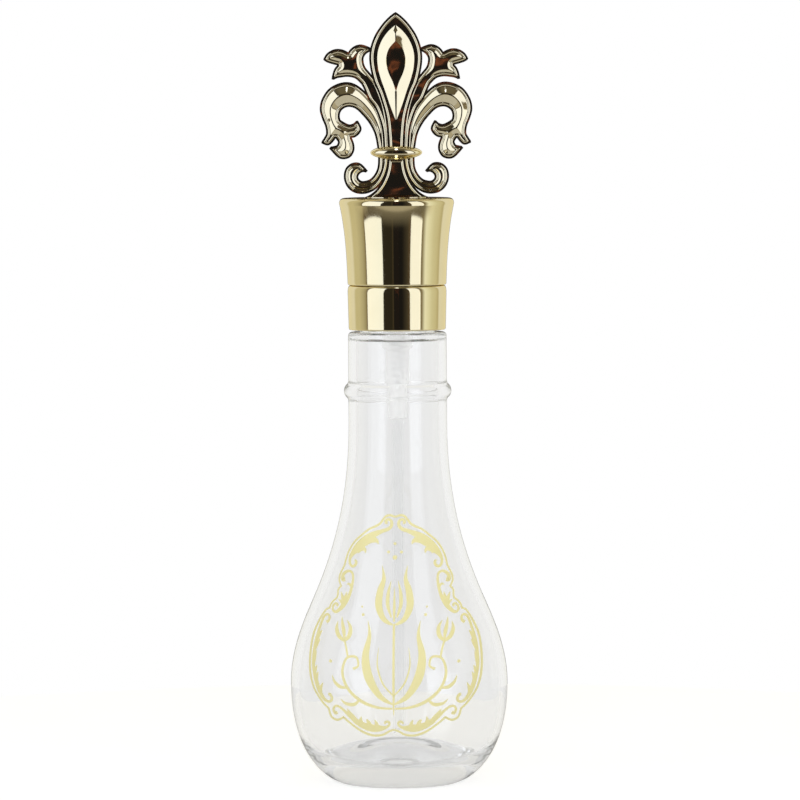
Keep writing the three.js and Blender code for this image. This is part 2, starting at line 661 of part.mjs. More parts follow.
// The middle petal and the boss on it, as half widths: [reach, height] from foot to tip
const PETAL_SIDE = [
  [2.4, 16], [2.55, 21], [3.3, 28], [5.3, 35.1], [7.4, 40.3], [8.6, 46.5], [8.3, 51], [6.75, 55.3], [4.3, 59],
  [1.95, 61.7], [0, 63.5],
];
const PETAL_BOSS_SIDE = [
  [0, 26.5], [1.4, 30.1], [3.2, 36.1], [4.95, 40.1], [5.7, 45.1], [5.6, 49.8], [4.5, 53.1], [2.3, 56.5], [0, 59.3],
];

// Half sections of the finial's ring and trumpet foot, turned to an oval: [reach, height]
const RING_SECTION = [
  [0, 12.3], [3, 12.9], [6, 13.6], [8.2, 14.5], [8.9, 15.4], [8.2, 16.3], [6, 17.2], [3, 17.7], [0, 18.3],
];
const FOOT_SECTION = [
  [0, 0], [10.8, 0], [8.7, 0.5], [6, 2.4], [3.9, 5.4], [2.8, 8.6], [2.4, 13], [0, 13],
];

// Depth across a leaf, from one edge to the other: [share of the width, half depth]
const LEAF_RELIEF = [[0, LEAF_EDGE], [0.18, LEAF_RIM], [0.5, LEAF_CHANNEL], [0.82, LEAF_RIM], [1, LEAF_EDGE]];
const PETAL_RELIEF = [
  [0, LEAF_EDGE], [0.06, LEAF_RIM], [0.14, LEAF_CHANNEL], [0.86, LEAF_CHANNEL], [0.94, LEAF_RIM], [1, LEAF_EDGE],
];
const BOSS_RELIEF = [0, 0.15, 0.35, 0.5, 0.65, 0.85, 1].map(
  (share) => [share, LEAF_EDGE + (PETAL_CROWN - LEAF_EDGE) * (1 - (2 * share - 1) ** 2)]);

// A band lofted between two edges, alike on its front and back, that runs out flat at its tip
function loftBand(pairs, relief, stations) {
  const edges = [0, 1].map((k) => new THREE.SplineCurve(pairs.map((pair) => new THREE.Vector2(...pair[k]))));
  const ring = relief.length * 2;
  const positions = [];
  const faces = [];
  for (let i = 0; i <= stations; i += 1) {
    const [left, right] = edges.map((edge) => edge.getPoint(i / stations));
    const relax = Math.min(1, left.distanceTo(right) / LEAF_RIM);
    const front = relief.map(([share, depth]) => {
      const point = left.clone().lerp(right, share);
      return [point.x, -THREE.MathUtils.lerp(LEAF_EDGE, depth, relax), point.y];
    });
    const back = front.map(([x, y, z]) => [x, -y, z]).reverse();
    positions.push(...front.flat(), ...back.flat());
    for (let k = 0; i > 0 && k < ring; k += 1) {
      const [a, b] = [(i - 1) * ring + k, (i - 1) * ring + (k + 1) % ring];
      faces.push(a, b, b + ring, a, b + ring, a + ring);
    }
  }
  for (let k = 0; k < relief.length - 1; k += 1) {
    const [a, b, c, d] = [k, ring - 1 - k, ring - 2 - k, k + 1];
    const end = stations * ring;
    faces.push(a, b, c, a, c, d);
    faces.push(end + a, end + c, end + b, end + a, end + d, end + c);
  }
  const geometry = new THREE.BufferGeometry();
  geometry.setAttribute('position', new THREE.Float32BufferAttribute(positions, 3));
  geometry.setIndex(faces);
  return closedSkin(geometry);
}

function mirrorPairs(pairs) {
  return pairs.map((pair) => pair.map(([reach, height]) => [-reach, height]));
}

function sidePairs(side) {
  return side.map(([reach, height]) => [[-reach, height], [reach, height]]);
}

// A turned section drawn out to an oval that is less deep than wide
function ovalTurn(section, depth) {
  const reach = Math.max(...section.map(([r]) => r));
  const geometry = revolve(section, SMALL_FACETS);
  geometry.scale(1, depth / reach, 1);
  return geometry;
}

// How many stations each leaf, the petal and its boss are lofted through
const LEAF_STATIONS = [
  [UPPER_LEAF, 13], [UPPER_LEAF_OUTER_LOBE, 5], [UPPER_LEAF_LOWER_LOBE, 5], [LOWER_LEAF_OUTER, 16],
  [LOWER_LEAF_INNER, 17], [LOWER_LEAF_HOOK, 5], [FOOT_VOLUTE, 14],
];
const PETAL_STATIONS = 11;
const BOSS_STATIONS = 9;

// Petal, leaves, ring, volutes and trumpet foot as one casting on a spigot
function lilyFinial() {
  const bands = LEAF_STATIONS.flatMap(([pairs, stations]) => [
    loftBand(pairs, LEAF_RELIEF, stations),
    loftBand(mirrorPairs(pairs), LEAF_RELIEF, stations),
  ]);
  const drawn = joined([
    loftBand(sidePairs(PETAL_SIDE), PETAL_RELIEF, PETAL_STATIONS),
    loftBand(sidePairs(PETAL_BOSS_SIDE), BOSS_RELIEF, BOSS_STATIONS),
    ovalTurn(RING_SECTION, RING_DEPTH),
    ovalTurn(FOOT_SECTION, FOOT_DEPTH),
    ...bands,
  ]);
  const scale = FINIAL_HEIGHT / DRAWN_HEIGHT;
  drawn.scale(scale, 1, scale);
  drawn.translate(0, 0, finialBottom);
  const spigot = rod(SPIGOT_RADIUS, linerCeiling + SEAT_GAP, finialBottom + SPIGOT_ROOT);
  return joined([drawn, spigot]);
}

const GLASS = { color: 0xeef2f1, roughness: 0.04, metalness: 0, transparent: true, opacity: 0.35 };
const GOLD = { color: 0xd2b06a, roughness: 0.12, metalness: 1 };
const PALE_PLASTIC = { color: 0xf1f0ec, roughness: 0.4, metalness: 0 };
const CLEAR_PLASTIC = { color: 0xf6f7f6, roughness: 0.25, metalness: 0, transparent: true, opacity: 0.6 };
const SOFT_SEAL = { color: 0xdad7cf, roughness: 0.7, metalness: 0 };
const STEEL = { color: 0xb9bcc0, roughness: 0.25, metalness: 1 };

const PIECES = [
  ['glass_bottle', glassBottle, GLASS],
  ['neck_gasket', neckGasket, SOFT_SEAL],
  ['pump_housing', pumpHousing, CLEAR_PLASTIC],
  ['pump_retainer', pumpRetainer, PALE_PLASTIC],
  ['stem_seal', stemSeal, SOFT_SEAL],
  ['dip_tube', dipTube, CLEAR_PLASTIC],
  ['inlet_ball', inletBall, STEEL],
  ['return_spring', returnSpring, STEEL],
  ['stem', stem, PALE_PLASTIC],
  ['piston', piston, SOFT_SEAL],
  ['closure_ring', closureRing, PALE_PLASTIC],
  ['collar_sleeve', collarSleeve, GOLD],
  ['actuator_button', actuatorButton, GOLD],
  ['nozzle_insert', nozzleInsert, PALE_PLASTIC],
  ['cap_shell', capShell, GOLD],
  ['cap_liner', capLiner, PALE_PLASTIC],
  ['lily_finial', lilyFinial, GOLD],
];

const bottle = new THREE.Group();
for (const [name, shape, look] of PIECES) {
  const geometry = shape();
  geometry.computeVertexNormals();
  const mesh = new THREE.Mesh(geometry, new THREE.MeshStandardMaterial(look));
  mesh.name = name;
  bottle.add(mesh);
}

export default bottle;
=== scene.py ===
"""Looks of the glass cologne bottle: blown glass, gold collar and overcap, lily finial, mist pump and print.

Outlines are drawn in millimetres as (reach from the axis, height) and the meshes are in metres.
"""
import json
import math

import bpy
import numpy as np
from mathutils import Matrix, Vector


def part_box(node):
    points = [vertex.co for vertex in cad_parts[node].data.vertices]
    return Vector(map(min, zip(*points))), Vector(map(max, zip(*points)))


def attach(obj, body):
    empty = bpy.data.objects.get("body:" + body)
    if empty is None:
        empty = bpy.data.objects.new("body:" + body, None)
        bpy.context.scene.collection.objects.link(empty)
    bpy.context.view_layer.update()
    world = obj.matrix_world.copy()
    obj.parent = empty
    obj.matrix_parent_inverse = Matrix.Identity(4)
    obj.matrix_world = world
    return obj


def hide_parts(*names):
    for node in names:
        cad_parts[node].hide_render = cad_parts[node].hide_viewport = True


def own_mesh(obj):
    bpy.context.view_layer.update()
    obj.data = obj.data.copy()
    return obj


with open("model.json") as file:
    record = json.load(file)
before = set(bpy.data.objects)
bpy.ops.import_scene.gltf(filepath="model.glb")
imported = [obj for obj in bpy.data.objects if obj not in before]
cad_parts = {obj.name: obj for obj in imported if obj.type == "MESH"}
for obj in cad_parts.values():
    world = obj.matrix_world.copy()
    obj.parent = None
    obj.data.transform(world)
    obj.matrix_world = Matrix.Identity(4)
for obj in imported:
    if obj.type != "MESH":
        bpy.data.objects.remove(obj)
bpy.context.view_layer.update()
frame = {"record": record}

MM = 0.001
FULL_TURN = 2 * math.pi
MERGE = 1e-7
CURVE_STEPS = 16
ROUND_STEPS = 96
GLASS_STEPS = 144
ROD_STEPS = 48
EDGE_ROUND = 0.12
FINE_EDGE = 0.06
EDGE_ANGLE = math.radians(40)
SMOOTH_ANGLE = math.radians(32)

BODY_OF = {node: body for body, nodes in frame["record"]["behaviour"]["bodies"].items() for node in nodes}
SLOT_OF = {part["node"]: part["material_slot"] for part in frame["record"]["subparts"]}


def span(node):
    """Lowest and highest height of a CAD node, in millimetres."""
    low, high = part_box(node)
    return low.z / MM, high.z / MM


def reach(node):
    """Largest reach of a CAD node from the bottle's axis along X, in millimetres."""
    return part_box(node)[1].x / MM


def limits(node):
    return *span(node), reach(node)


# Modelling helpers

def clear_selection():
    if bpy.context.object and bpy.context.object.mode != "OBJECT":
        bpy.ops.object.mode_set(mode="OBJECT")
    bpy.ops.object.select_all(action="DESELECT")


def pick(piece):
    clear_selection()
    piece.select_set(True)
    bpy.context.view_layer.objects.active = piece


def named(name):
    piece = bpy.context.object
    piece.name = name
    piece.data.name = name
    return piece


def put(piece, points):
    """Moves a piece's corners to points in millimetres."""
    for corner, point in zip(piece.data.vertices, points):
        corner.co = Vector(point) * MM


def drawn(name, outline, fill, depth=0):
    """A closed outline of (reach, height) points at one depth."""
    clear_selection()
    bpy.ops.mesh.primitive_circle_add(vertices=len(outline), fill_type=fill)
    piece = named(name)
    put(piece, [(out, depth, height) for out, height in outline])
    return piece


def sheet(name, columns, rows):
    """A grid of cells whose corners are counted row by row."""
    clear_selection()
    bpy.ops.mesh.primitive_grid_add(x_subdivisions=columns, y_subdivisions=rows)
    return named(name)


def apply_modifier(piece, kind, **settings):
    pick(piece)
    modifier = piece.modifiers.new(kind.lower(), kind)
    for setting, value in settings.items():
        setattr(modifier, setting, value)
    bpy.ops.object.modifier_apply(modifier=modifier.name)


def edit_all(piece):
    pick(piece)
    bpy.ops.object.mode_set(mode="EDIT")
    bpy.ops.mesh.select_all(action="SELECT")


def end_edit():
    bpy.ops.object.mode_set(mode="OBJECT")


def close_skin(piece):
    """Merges doubles and turns the faces outwards."""
    edit_all(piece)
    bpy.ops.mesh.remove_doubles(threshold=MERGE)
    bpy.ops.mesh.dissolve_degenerate(threshold=MERGE)
    bpy.ops.mesh.normals_make_consistent(inside=False)
    end_edit()
    return piece


def fill_ends(piece):
    """Closes the open ends of a swept or stacked skin."""
    edit_all(piece)
    bpy.ops.mesh.remove_doubles(threshold=MERGE)
    bpy.ops.mesh.select_all(action="DESELECT")
    bpy.ops.mesh.select_non_manifold(extend=False, use_wire=False, use_multi_face=False,
                                     use_non_contiguous=False, use_verts=False)
    bpy.ops.mesh.edge_face_add()
    end_edit()
    return close_skin(piece)


def smooth(piece, angle=SMOOTH_ANGLE):
    pick(piece)
    bpy.ops.object.shade_smooth_by_angle(angle=angle)


def combine(how, piece, *others):
    """Joins solids to a piece, cuts them from it or keeps what it shares with them."""
    for other in others:
        apply_modifier(piece, "BOOLEAN", operation=how, solver="MANIFOLD", object=other)
        bpy.data.objects.remove(other)
    return piece


def mirror(piece, axes, merge):
    apply_modifier(piece, "MIRROR", use_axis=axes, use_mirror_merge=merge, merge_threshold=MERGE)


def join(pieces, name):
    pick(pieces[0])
    for piece in pieces:
        piece.select_set(True)
    bpy.ops.object.join()
    return named(name)


def curve(*handles, steps=CURVE_STEPS):
    """Points of a Bezier curve after its first handle."""
    points = []
    for i in range(1, steps + 1):
        row = [Vector(handle) for handle in handles]
        while len(row) > 1:
            row = [a.lerp(b, i / steps) for a, b in zip(row, row[1:])]
        points.append(tuple(row[0]))
    return points


def spline(points, share):
    """A point on a smooth curve through all the points, at a share of their count."""
    last = len(points) - 1
    place = share * last
    i = min(int(place), last - 1)
    t = place - i
    a, b, c, d = (Vector(points[min(max(k, 0), last)]) for k in range(i - 1, i + 3))
    start = 2 * b + (c - a) * t
    return 0.5 * (start + (2 * a - 5 * b + 4 * c - d) * t * t + (3 * b - a - 3 * c + d) * t ** 3)


def spline_points(points, stations):
    return [spline(points, k / stations) for k in range(stations + 1)]


def spline_run(points, share, step):
    """The way that the curve takes around a share of it."""
    return spline(points, min(share + step, 1)) - spline(points, max(share - step, 0))


def blend(a, b, share):
    return a + (b - a) * share


def turned(name, outline, steps=ROUND_STEPS, edge=EDGE_ROUND):
    """A section of (reach, height) points spun about the bottle's axis."""
    piece = drawn(name, outline, "NOTHING")
    edit_all(piece)
    bpy.ops.mesh.select_mode(type="EDGE")
    bpy.ops.mesh.select_all(action="DESELECT")
    end_edit()
    for line in piece.data.edges:
        line.select = all(abs(piece.data.vertices[k].co.x) < MERGE for k in line.vertices)
    bpy.ops.object.mode_set(mode="EDIT")
    bpy.ops.mesh.delete(type="EDGE")
    bpy.ops.mesh.select_mode(type="VERT")
    bpy.ops.mesh.select_all(action="SELECT")
    bpy.ops.mesh.spin(steps=steps, angle=FULL_TURN, center=(0, 0, 0), axis=(0, 0, 1))
    end_edit()
    close_skin(piece)
    if edge:
        apply_modifier(piece, "BEVEL", width=edge * MM, segments=2, limit_method="ANGLE",
                       angle_limit=EDGE_ANGLE, use_clamp_overlap=True)
    return piece


def rod(name, radius, start, end):
    """A round bar between two points in millimetres."""
    start, end = Vector(start) * MM, Vector(end) * MM
    clear_selection()
    bpy.ops.mesh.primitive_cylinder_add(
        vertices=ROD_STEPS, radius=radius * MM, depth=(end - start).length, location=(start + end) / 2,
        rotation=(end - start).to_track_quat("Z", "Y").to_euler())
    bpy.ops.object.transform_apply(location=True, rotation=True, scale=True)
    return named(name)


def screw_ridge(name, section, lead, turns, steps=72):
    """A thread or a coil: a closed section of (reach, height) points swept up a helix, with filled ends."""
    piece = drawn(name, section, "NGON")
    count = int(steps * turns)
    apply_modifier(piece, "SCREW", axis="Z", angle=turns * FULL_TURN, screw_offset=turns * lead * MM,
                   iterations=1, steps=count, render_steps=count, use_normal_calculate=True)
    return fill_ends(piece)


# Finishes: noise is (repeats per metre, detail, stretch) on a piece's own coordinates

NOISE_ROUGHNESS = 0.55
WAVE_NOISE = (170, 0)


def feed(socket, value):
    """Links a node's output to a socket, or sets a plain value on it."""
    if isinstance(value, bpy.types.NodeSocket):
        socket.id_data.links.new(value, socket)
    else:
        socket.default_value = value


def feed_all(node, sockets):
    """Feeds sockets by their names, with underscores for spaces."""
    for name, value in sockets.items():
        feed(node.inputs[name.replace("_", " ")], value)
    return node


def add_node(tree, kind, **sockets):
    return feed_all(tree.nodes.new(kind), sockets)


def maths(tree, operation, a, b):
    node = tree.nodes.new("ShaderNodeMath")
    node.operation = operation
    feed(node.inputs[0], a)
    feed(node.inputs[1], b)
    return node.outputs["Value"]


def pattern(tree, scale, detail=4, stretch=(1, 1, 1)):
    place = add_node(tree, "ShaderNodeTexCoord").outputs["Object"]
    mapping = add_node(tree, "ShaderNodeMapping", Vector=place, Scale=stretch)
    noise = add_node(tree, "ShaderNodeTexNoise", Vector=mapping.outputs["Vector"], Scale=scale, Detail=detail,
                     Roughness=NOISE_ROUGHNESS)
    return noise.outputs["Fac"]


def colour_range(tree, factor, stops):
    ramp = add_node(tree, "ShaderNodeValToRGB", Fac=factor)
    for element, (position, colour) in zip(ramp.color_ramp.elements, (stops[0], stops[-1])):
        element.position = position
        element.color = (*colour, 1)
    for position, colour in stops[1:-1]:
        ramp.color_ramp.elements.new(position).color = (*colour, 1)
    return ramp.outputs["Color"]


def number_range(tree, factor, low, high, start=0, end=1):
    """Spreads a factor's run from start to end over low to high."""
    spread = add_node(tree, "ShaderNodeMapRange", Value=factor, From_Min=start, From_Max=end, To_Min=low,
                      To_Max=high)
    return spread.outputs["Result"]


def fine_bumps(tree, shader, noise, strength, height, under=None):
    bump = add_node(tree, "ShaderNodeBump", Height=pattern(tree, *noise), Strength=strength,
                    Distance=height * MM)
    if under:
        feed(bump.inputs["Normal"], under)
    feed(shader.inputs["Normal"], bump.outputs["Normal"])
    return bump.outputs["Normal"]


def new_finish(name, **sockets):
    finish = bpy.data.materials.new(name)
    finish.use_nodes = True
    shader = feed_all(finish.node_tree.nodes["Principled BSDF"], sockets)
    return finish, finish.node_tree, shader


def surface(name, tone, roughness, bumps, stops=(0.3, 0.7), waves=0, **sockets):
    """A finish whose colour, roughness and height each follow a noise.

    tone is (noise, a colour for each stop), roughness (noise, low, high) and bumps (noise, strength, height).
    Waves are the height of a slow unevenness under the bumps. Heights are in millimetres.
    """
    finish, tree, shader = new_finish(name, **sockets)
    noise, *colours = tone
    feed(shader.inputs["Base Color"], colour_range(tree, pattern(tree, *noise), list(zip(stops, colours))))
    noise, low, high = roughness
    feed(shader.inputs["Roughness"], number_range(tree, pattern(tree, *noise), low, high))
    under = fine_bumps(tree, shader, WAVE_NOISE, 1, waves) if waves else None
    fine_bumps(tree, shader, *bumps, under)
    return finish


def clear_glass():
    """Flint glass, which is greyer the thicker it is."""
    glass = surface("clear_flint_glass", tone=((18,), (0.918, 0.920, 0.919), (0.931, 0.932, 0.931)),
                    roughness=((240,), 0, 0.02), bumps=((26, 1.5, (1, 1, 0.25)), 0.25, 0.12),
                    Transmission_Weight=1, IOR=1.46)
    depth = add_node(glass.node_tree, "ShaderNodeVolumeAbsorption", Color=(0.5, 0.505, 0.49, 1), Density=6.4)
    feed(glass.node_tree.nodes["Material Output"].inputs["Volume"], depth.outputs["Volume"])
    return glass


def gold(name, dark, light, roughness, grain=(1, 1, 1), waves=0):
    return surface(name, tone=((90,), dark, light), roughness=((700, 6), *roughness),
                   bumps=((2600, 3, grain), 0.04, 0.01), stops=(0.25, 0.75), waves=waves,
                   Metallic=1, Specular_Tint=(1, 0.93, 0.72, 1))


FINISHES = {
    "clear_glass": clear_glass(),
    "soft_seal": surface(
        "soft_sealing_plastic", tone=((200,), (0.60, 0.585, 0.54), (0.68, 0.665, 0.62)),
        roughness=((1200,), 0.5, 0.7), bumps=((4000, 3), 0.15, 0.02),
        Subsurface_Weight=0.08, Subsurface_Scale=0.001),
    # Painted glow: the pump plastic emits a faint white light of its own, which brightens it inside the glass
    # where little lamp light reaches.
    "translucent_plastic": surface(
        "translucent_plastic_painted_glow", tone=((80,), (0.97, 0.97, 0.965), (0.99, 0.99, 0.985)),
        roughness=((600,), 0.22, 0.4), bumps=((1800, 2, (1, 1, 0.1)), 0.06, 0.02),
        Transmission_Weight=0.6, IOR=1.05, Emission_Color=(1, 1, 1, 1), Emission_Strength=0.13),
    "white_plastic": surface(
        "moulded_white_plastic", tone=((60,), (0.83, 0.82, 0.79), (0.88, 0.875, 0.85)),
        roughness=((900,), 0.28, 0.42), bumps=((3000, 2), 0.08, 0.015),
        Subsurface_Weight=0.12, Subsurface_Scale=0.001),
    "steel": surface(
        "drawn_stainless_steel", tone=((300,), (0.52, 0.53, 0.55), (0.66, 0.67, 0.69)),
        roughness=((2500, 5), 0.14, 0.3), bumps=((6000, 2), 0.08, 0.01), Metallic=1),
    "gold_metal": gold("gold_anodised_aluminium", (0.82, 0.735, 0.50), (0.86, 0.775, 0.54), (0.04, 0.09),
                       grain=(1, 1, 6)),
    "gold_plated_plastic": gold("gold_plated_plastic", (0.80, 0.71, 0.44), (0.85, 0.76, 0.49), (0.08, 0.16)),
    "cast_gold": gold("gold_plated_casting", (0.835, 0.76, 0.55), (0.885, 0.81, 0.61), (0.03, 0.07),
                      waves=0.14),
}
CLEAR_TUBE = surface(
    "clear_tube_plastic", tone=((120,), (0.985, 0.99, 0.99), (1, 1, 1)), roughness=((700,), 0.05, 0.14),
    bumps=((1500, 2, (1, 1, 0.04)), 0.05, 0.02), Transmission_Weight=0.97, IOR=1.04)
GOLD_INK = surface(
    "matt_gold_ink", tone=((5200, 2), (0.90, 0.82, 0.36), (0.95, 0.88, 0.46), (0.98, 0.94, 0.62)),
    roughness=((300,), 0.38, 0.55), bumps=((5200, 2), 0.25, 0.02), stops=(0.3, 0.5, 0.72),
    Metallic=0.1, Specular_IOR_Level=0.4)


def coat(piece, finish, smooth_angle=SMOOTH_ANGLE):
    piece.data.materials.clear()
    piece.data.materials.append(finish)
    smooth(piece, smooth_angle)


def seat(piece, node, finish=None, smooth_angle=SMOOTH_ANGLE):
    """Gives a piece its finish, and puts it in its CAD node's place on the node's body."""
    coat(piece, finish or FINISHES[SLOT_OF[node]], smooth_angle)
    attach(piece, BODY_OF[node])
    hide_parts(node)
    return piece


# Glass bottle

glass_top = span("glass_bottle")[1]
BODY_REACH = reach("glass_bottle")
WALL = 2.6
FLOOR = 8.6
FLOOR_REACH = 26.6
DOME_TOP = 15.6
DOME_REACH = 19.5
STANDING_REACH = 20
RING_REACH = 15.5
PUSH_UP = 3
BELLY_HEIGHT = 34.3
SLOPE_REACH = 28.6
SLOPE_HEIGHT = 65.5
NECK_REACH = 16.9
NECK_FOOT = 124
BEAD_HEIGHT = 135
BEAD_HALF = 2.7
BEAD_ROOT = 0.55
BEAD_HANDLE = 1.85
BEAD_FILLET = 1.1
INNER_SHOULDER_DROP = 2.2
FINISH_HEIGHT = 11.3
FINISH_REACH = 12.8
MOUTH_REACH = 10.4
MOUTH_EDGE = 0.5
SHOULDER = glass_top - FINISH_HEIGHT
SHOULDER_ROUND = 1.5
THREAD_LEAD = 4.233
THREAD_DEPTH = 0.9


def body_side(inset, start, heel):
    """The side from the heel to the foot of the neck, set in by a wall's thickness."""
    body, slope, neck = BODY_REACH - inset, SLOPE_REACH - inset, NECK_REACH - inset
    return [
        (start, heel),
        *curve((start, heel), (29, heel + 2.6), (body, 14), (body, BELLY_HEIGHT), steps=28),
        *curve((body, BELLY_HEIGHT), (body, 46.8), (slope + 3.7, 56.9), (slope, SLOPE_HEIGHT), steps=22),
        *curve((slope, SLOPE_HEIGHT), (slope - 7.91, 83.9), (neck, 102), (neck, NECK_FOOT), steps=28),
    ]


OUTER_SIDE = body_side(0, STANDING_REACH, 0)


def glass_reach(height):
    """Reach of the glass's outside at a height on its body."""
    for (inner, low), (outer, high) in zip(OUTER_SIDE, OUTER_SIDE[1:]):
        if low <= height <= high:
            return blend(inner, outer, (height - low) / (high - low))
    return NECK_REACH


def neck_bead():
    """The ring around the neck, with a fillet at each end."""
    low, high = BEAD_HEIGHT - BEAD_HALF, BEAD_HEIGHT + BEAD_HALF
    root, crest = NECK_REACH + BEAD_ROOT, NECK_REACH + BEAD_HANDLE
    foot, top = (NECK_REACH, low - BEAD_FILLET), (NECK_REACH, high + BEAD_FILLET)
    low_root, high_root = (root, low + 0.45), (root, high - 0.45)
    return [
        foot,
        *curve(foot, (NECK_REACH, low), low_root, steps=6),
        *curve(low_root, (crest, low + 1.5), (crest, high - 1.5), high_root),
        *curve(high_root, (NECK_REACH, high), top, steps=6),
    ]


def thread(name, root, crest, low, heights, turns):
    """A screw ridge from its root to its crest and back, at heights above its start."""
    section = [(out, low + height) for out, height in zip((root, crest, crest, root), heights)]
    return screw_ridge(name, section, THREAD_LEAD, turns)


def make_glass():
    inner_neck = NECK_REACH - WALL
    inner_shoulder = SHOULDER - INNER_SHOULDER_DROP
    neck_top, mouth_foot = (NECK_REACH, SHOULDER - SHOULDER_ROUND), (MOUTH_REACH, inner_shoulder)
    floor_edge = (FLOOR_REACH, FLOOR)
    glass = turned("glass_bottle_blown", [
        (0, PUSH_UP),
        *curve((0, PUSH_UP), (RING_REACH / 2, PUSH_UP), (RING_REACH - 5, 0.3), (RING_REACH, 0)),
        *OUTER_SIDE,
        *neck_bead(),
        neck_top,
        *curve(neck_top, (NECK_REACH, SHOULDER), (NECK_REACH - SHOULDER_ROUND, SHOULDER), steps=8),
        (FINISH_REACH, SHOULDER),
        (FINISH_REACH, glass_top - MOUTH_EDGE),
        (FINISH_REACH - MOUTH_EDGE, glass_top),
        (MOUTH_REACH, glass_top),
        mouth_foot,
        *curve(mouth_foot, (inner_neck, inner_shoulder), (inner_neck, inner_shoulder - 0.8)),
        *reversed(body_side(WALL, *floor_edge)),
        *curve(floor_edge, (DOME_REACH + 3, FLOOR + 0.6), (DOME_REACH, DOME_TOP), (0, DOME_TOP), steps=36),
    ], steps=GLASS_STEPS, edge=0)
    ridge = thread("neck_thread", FINISH_REACH - 0.3, FINISH_REACH + THREAD_DEPTH, SHOULDER + 1.6,
                   heights=(0, 0.5, 1.1, 1.8), turns=1.5)
    seat(combine("UNION", glass, ridge), "glass_bottle")


# Screw closure and collar

def make_closure():
    foot, top, outer = limits("closure_ring")
    inner = outer - 1.75
    web_low, web_high = foot + 12.3, foot + 13.7
    riser_inner, riser_outer, web_hole = 9.45, 10.75, 6.25
    ring = turned("closure_ring_moulded", [
        (inner, foot), (outer, foot), (outer, web_high), (riser_outer, web_high), (riser_outer, top),
        (riser_inner, top), (riser_inner, web_high), (web_hole, web_high), (web_hole, web_low),
        (inner, web_low),
    ])
    ridge = thread("closure_thread", inner + 0.3, inner - 0.3, SHOULDER + 3.9,
                   heights=(0, 0.5, 1.0, 1.6), turns=1.2)
    seat(combine("UNION", ring, ridge), "closure_ring")


def make_collar():
    foot, top, outer = limits("collar_sleeve")
    wall, flare, edge, hem = 0.7, 0.3, 0.8, 0.25
    crown_height, crown_reach = 2.4, 0.9
    shoulder = foot + 15.2
    inner = outer - flare - wall
    crown_foot = (outer, shoulder - crown_height)
    boss, hole = 11.6, 8.25
    sleeve = turned("collar_sleeve_drawn", [
        (inner, foot + hem), (inner + hem, foot),
        *curve((inner + hem, foot), (outer - flare, foot), (outer - flare, foot + wall), steps=6),
        crown_foot,
        *curve(crown_foot, (outer, shoulder), (outer - crown_reach, shoulder), steps=12),
        (boss, shoulder), (boss, top - edge),
        *curve((boss, top - edge), (boss, top), (boss - edge, top), steps=6),
        (hole, top), (hole, top - wall), (boss - wall, top - wall), (boss - wall, shoulder - wall),
        (inner, shoulder - wall),
    ], steps=128, edge=0.08)
    seat(sleeve, "collar_sleeve")


# Pump

def make_gasket():
    low, high, outer = limits("neck_gasket")
    hole = 8
    gasket = turned("neck_gasket_washer", [(hole, low), (outer, low), (outer, high), (hole, high)])
    seat(gasket, "neck_gasket")


def make_housing():
    tail_low, flange_top, flange = limits("pump_housing")
    flange_low = flange_top - 1.2
    hub, hub_low = 5.3, flange_low - 18.6
    barrel, barrel_low = 4.05, flange_low - 31.8
    tail, tail_edge, tube_bore, throat = 3.3, 0.5, 2.2, 1.0
    tube_stop = tail_low + 8
    ball_bore, ball_low, ball_high = 1.8, barrel_low + 1, barrel_low + 2.9
    bore, plug_bore, plug_stop = 3.1, 4.25, flange_top - 9
    housing = turned("pump_housing_moulded", [
        (plug_bore, flange_top), (flange, flange_top), (flange, flange_low), (hub, flange_low),
        (hub, hub_low + 1.4), (barrel, hub_low), (barrel, barrel_low + 0.5), (tail, barrel_low),
        (tail, tail_low + tail_edge), (tail - tail_edge, tail_low), (tube_bore, tail_low),
        (tube_bore, tube_stop), (throat, tube_stop), (throat, barrel_low), (ball_bore, ball_low),
        (ball_bore, ball_high), (bore, ball_high), (bore, plug_stop), (plug_bore, plug_stop),
    ])
    seat(housing, "pump_housing")


def make_retainer():
    low, high = span("pump_retainer")
    flange, flange_low = 6, high - 0.8
    hole, plug, seal_bore, seal_low = 1.85, 4.1, 3.15, high - 1.5
    retainer = turned("pump_retainer_plug", [
        (hole, low), (plug, low), (plug, flange_low), (flange, flange_low), (flange, high),
        (seal_bore, high), (seal_bore, seal_low), (hole, seal_low),
    ])
    seat(retainer, "pump_retainer")


def make_stem_seal():
    low, high = span("stem_seal")
    hole, lip, outer = 1.85, 1.7, 3
    seal = turned("stem_seal_ring", [
        (hole, low), (outer, low), (outer, high), (hole, high), (lip, (low + high) / 2),
    ], edge=0.08)
    seat(seal, "stem_seal")


def make_dip_tube():
    low, high = DOME_TOP + 1.5, span("dip_tube")[1]
    radius = reach("dip_tube")
    bore = radius - 0.7
    slant = math.radians(35)
    tube = turned("dip_tube_drawn", [(bore, low), (radius, low), (radius, high), (bore, high)],
                  steps=40, edge=0)
    edit_all(tube)
    bpy.ops.mesh.bisect(plane_co=(-radius * MM, 0, low * MM), plane_no=(-math.sin(slant), 0, math.cos(slant)),
                        clear_inner=True, use_fill=True)
    end_edit()
    seat(close_skin(tube), "dip_tube", CLEAR_TUBE)


def make_ball():
    low, high = span("inlet_ball")
    clear_selection()
    bpy.ops.mesh.primitive_ico_sphere_add(subdivisions=4, radius=(high - low) / 2 * MM,
                                          location=(0, 0, (low + high) / 2 * MM))
    bpy.ops.object.transform_apply(location=True, rotation=True, scale=True)
    seat(named("inlet_ball_ground"), "inlet_ball")


def make_spring():
    low, high, outer = limits("return_spring")
    wire, turns, sides = 0.3, 7, 10
    middle = outer - wire
    angles = [FULL_TURN * k / sides for k in range(sides)]
    section = [(middle + wire * math.cos(angle), low + wire + wire * math.sin(angle)) for angle in angles]
    lead = (high - low - 2 * wire) / turns
    spring = screw_ridge("return_spring_wound", section, lead, turns, steps=40)
    seat(spring, "return_spring")
    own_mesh(spring)


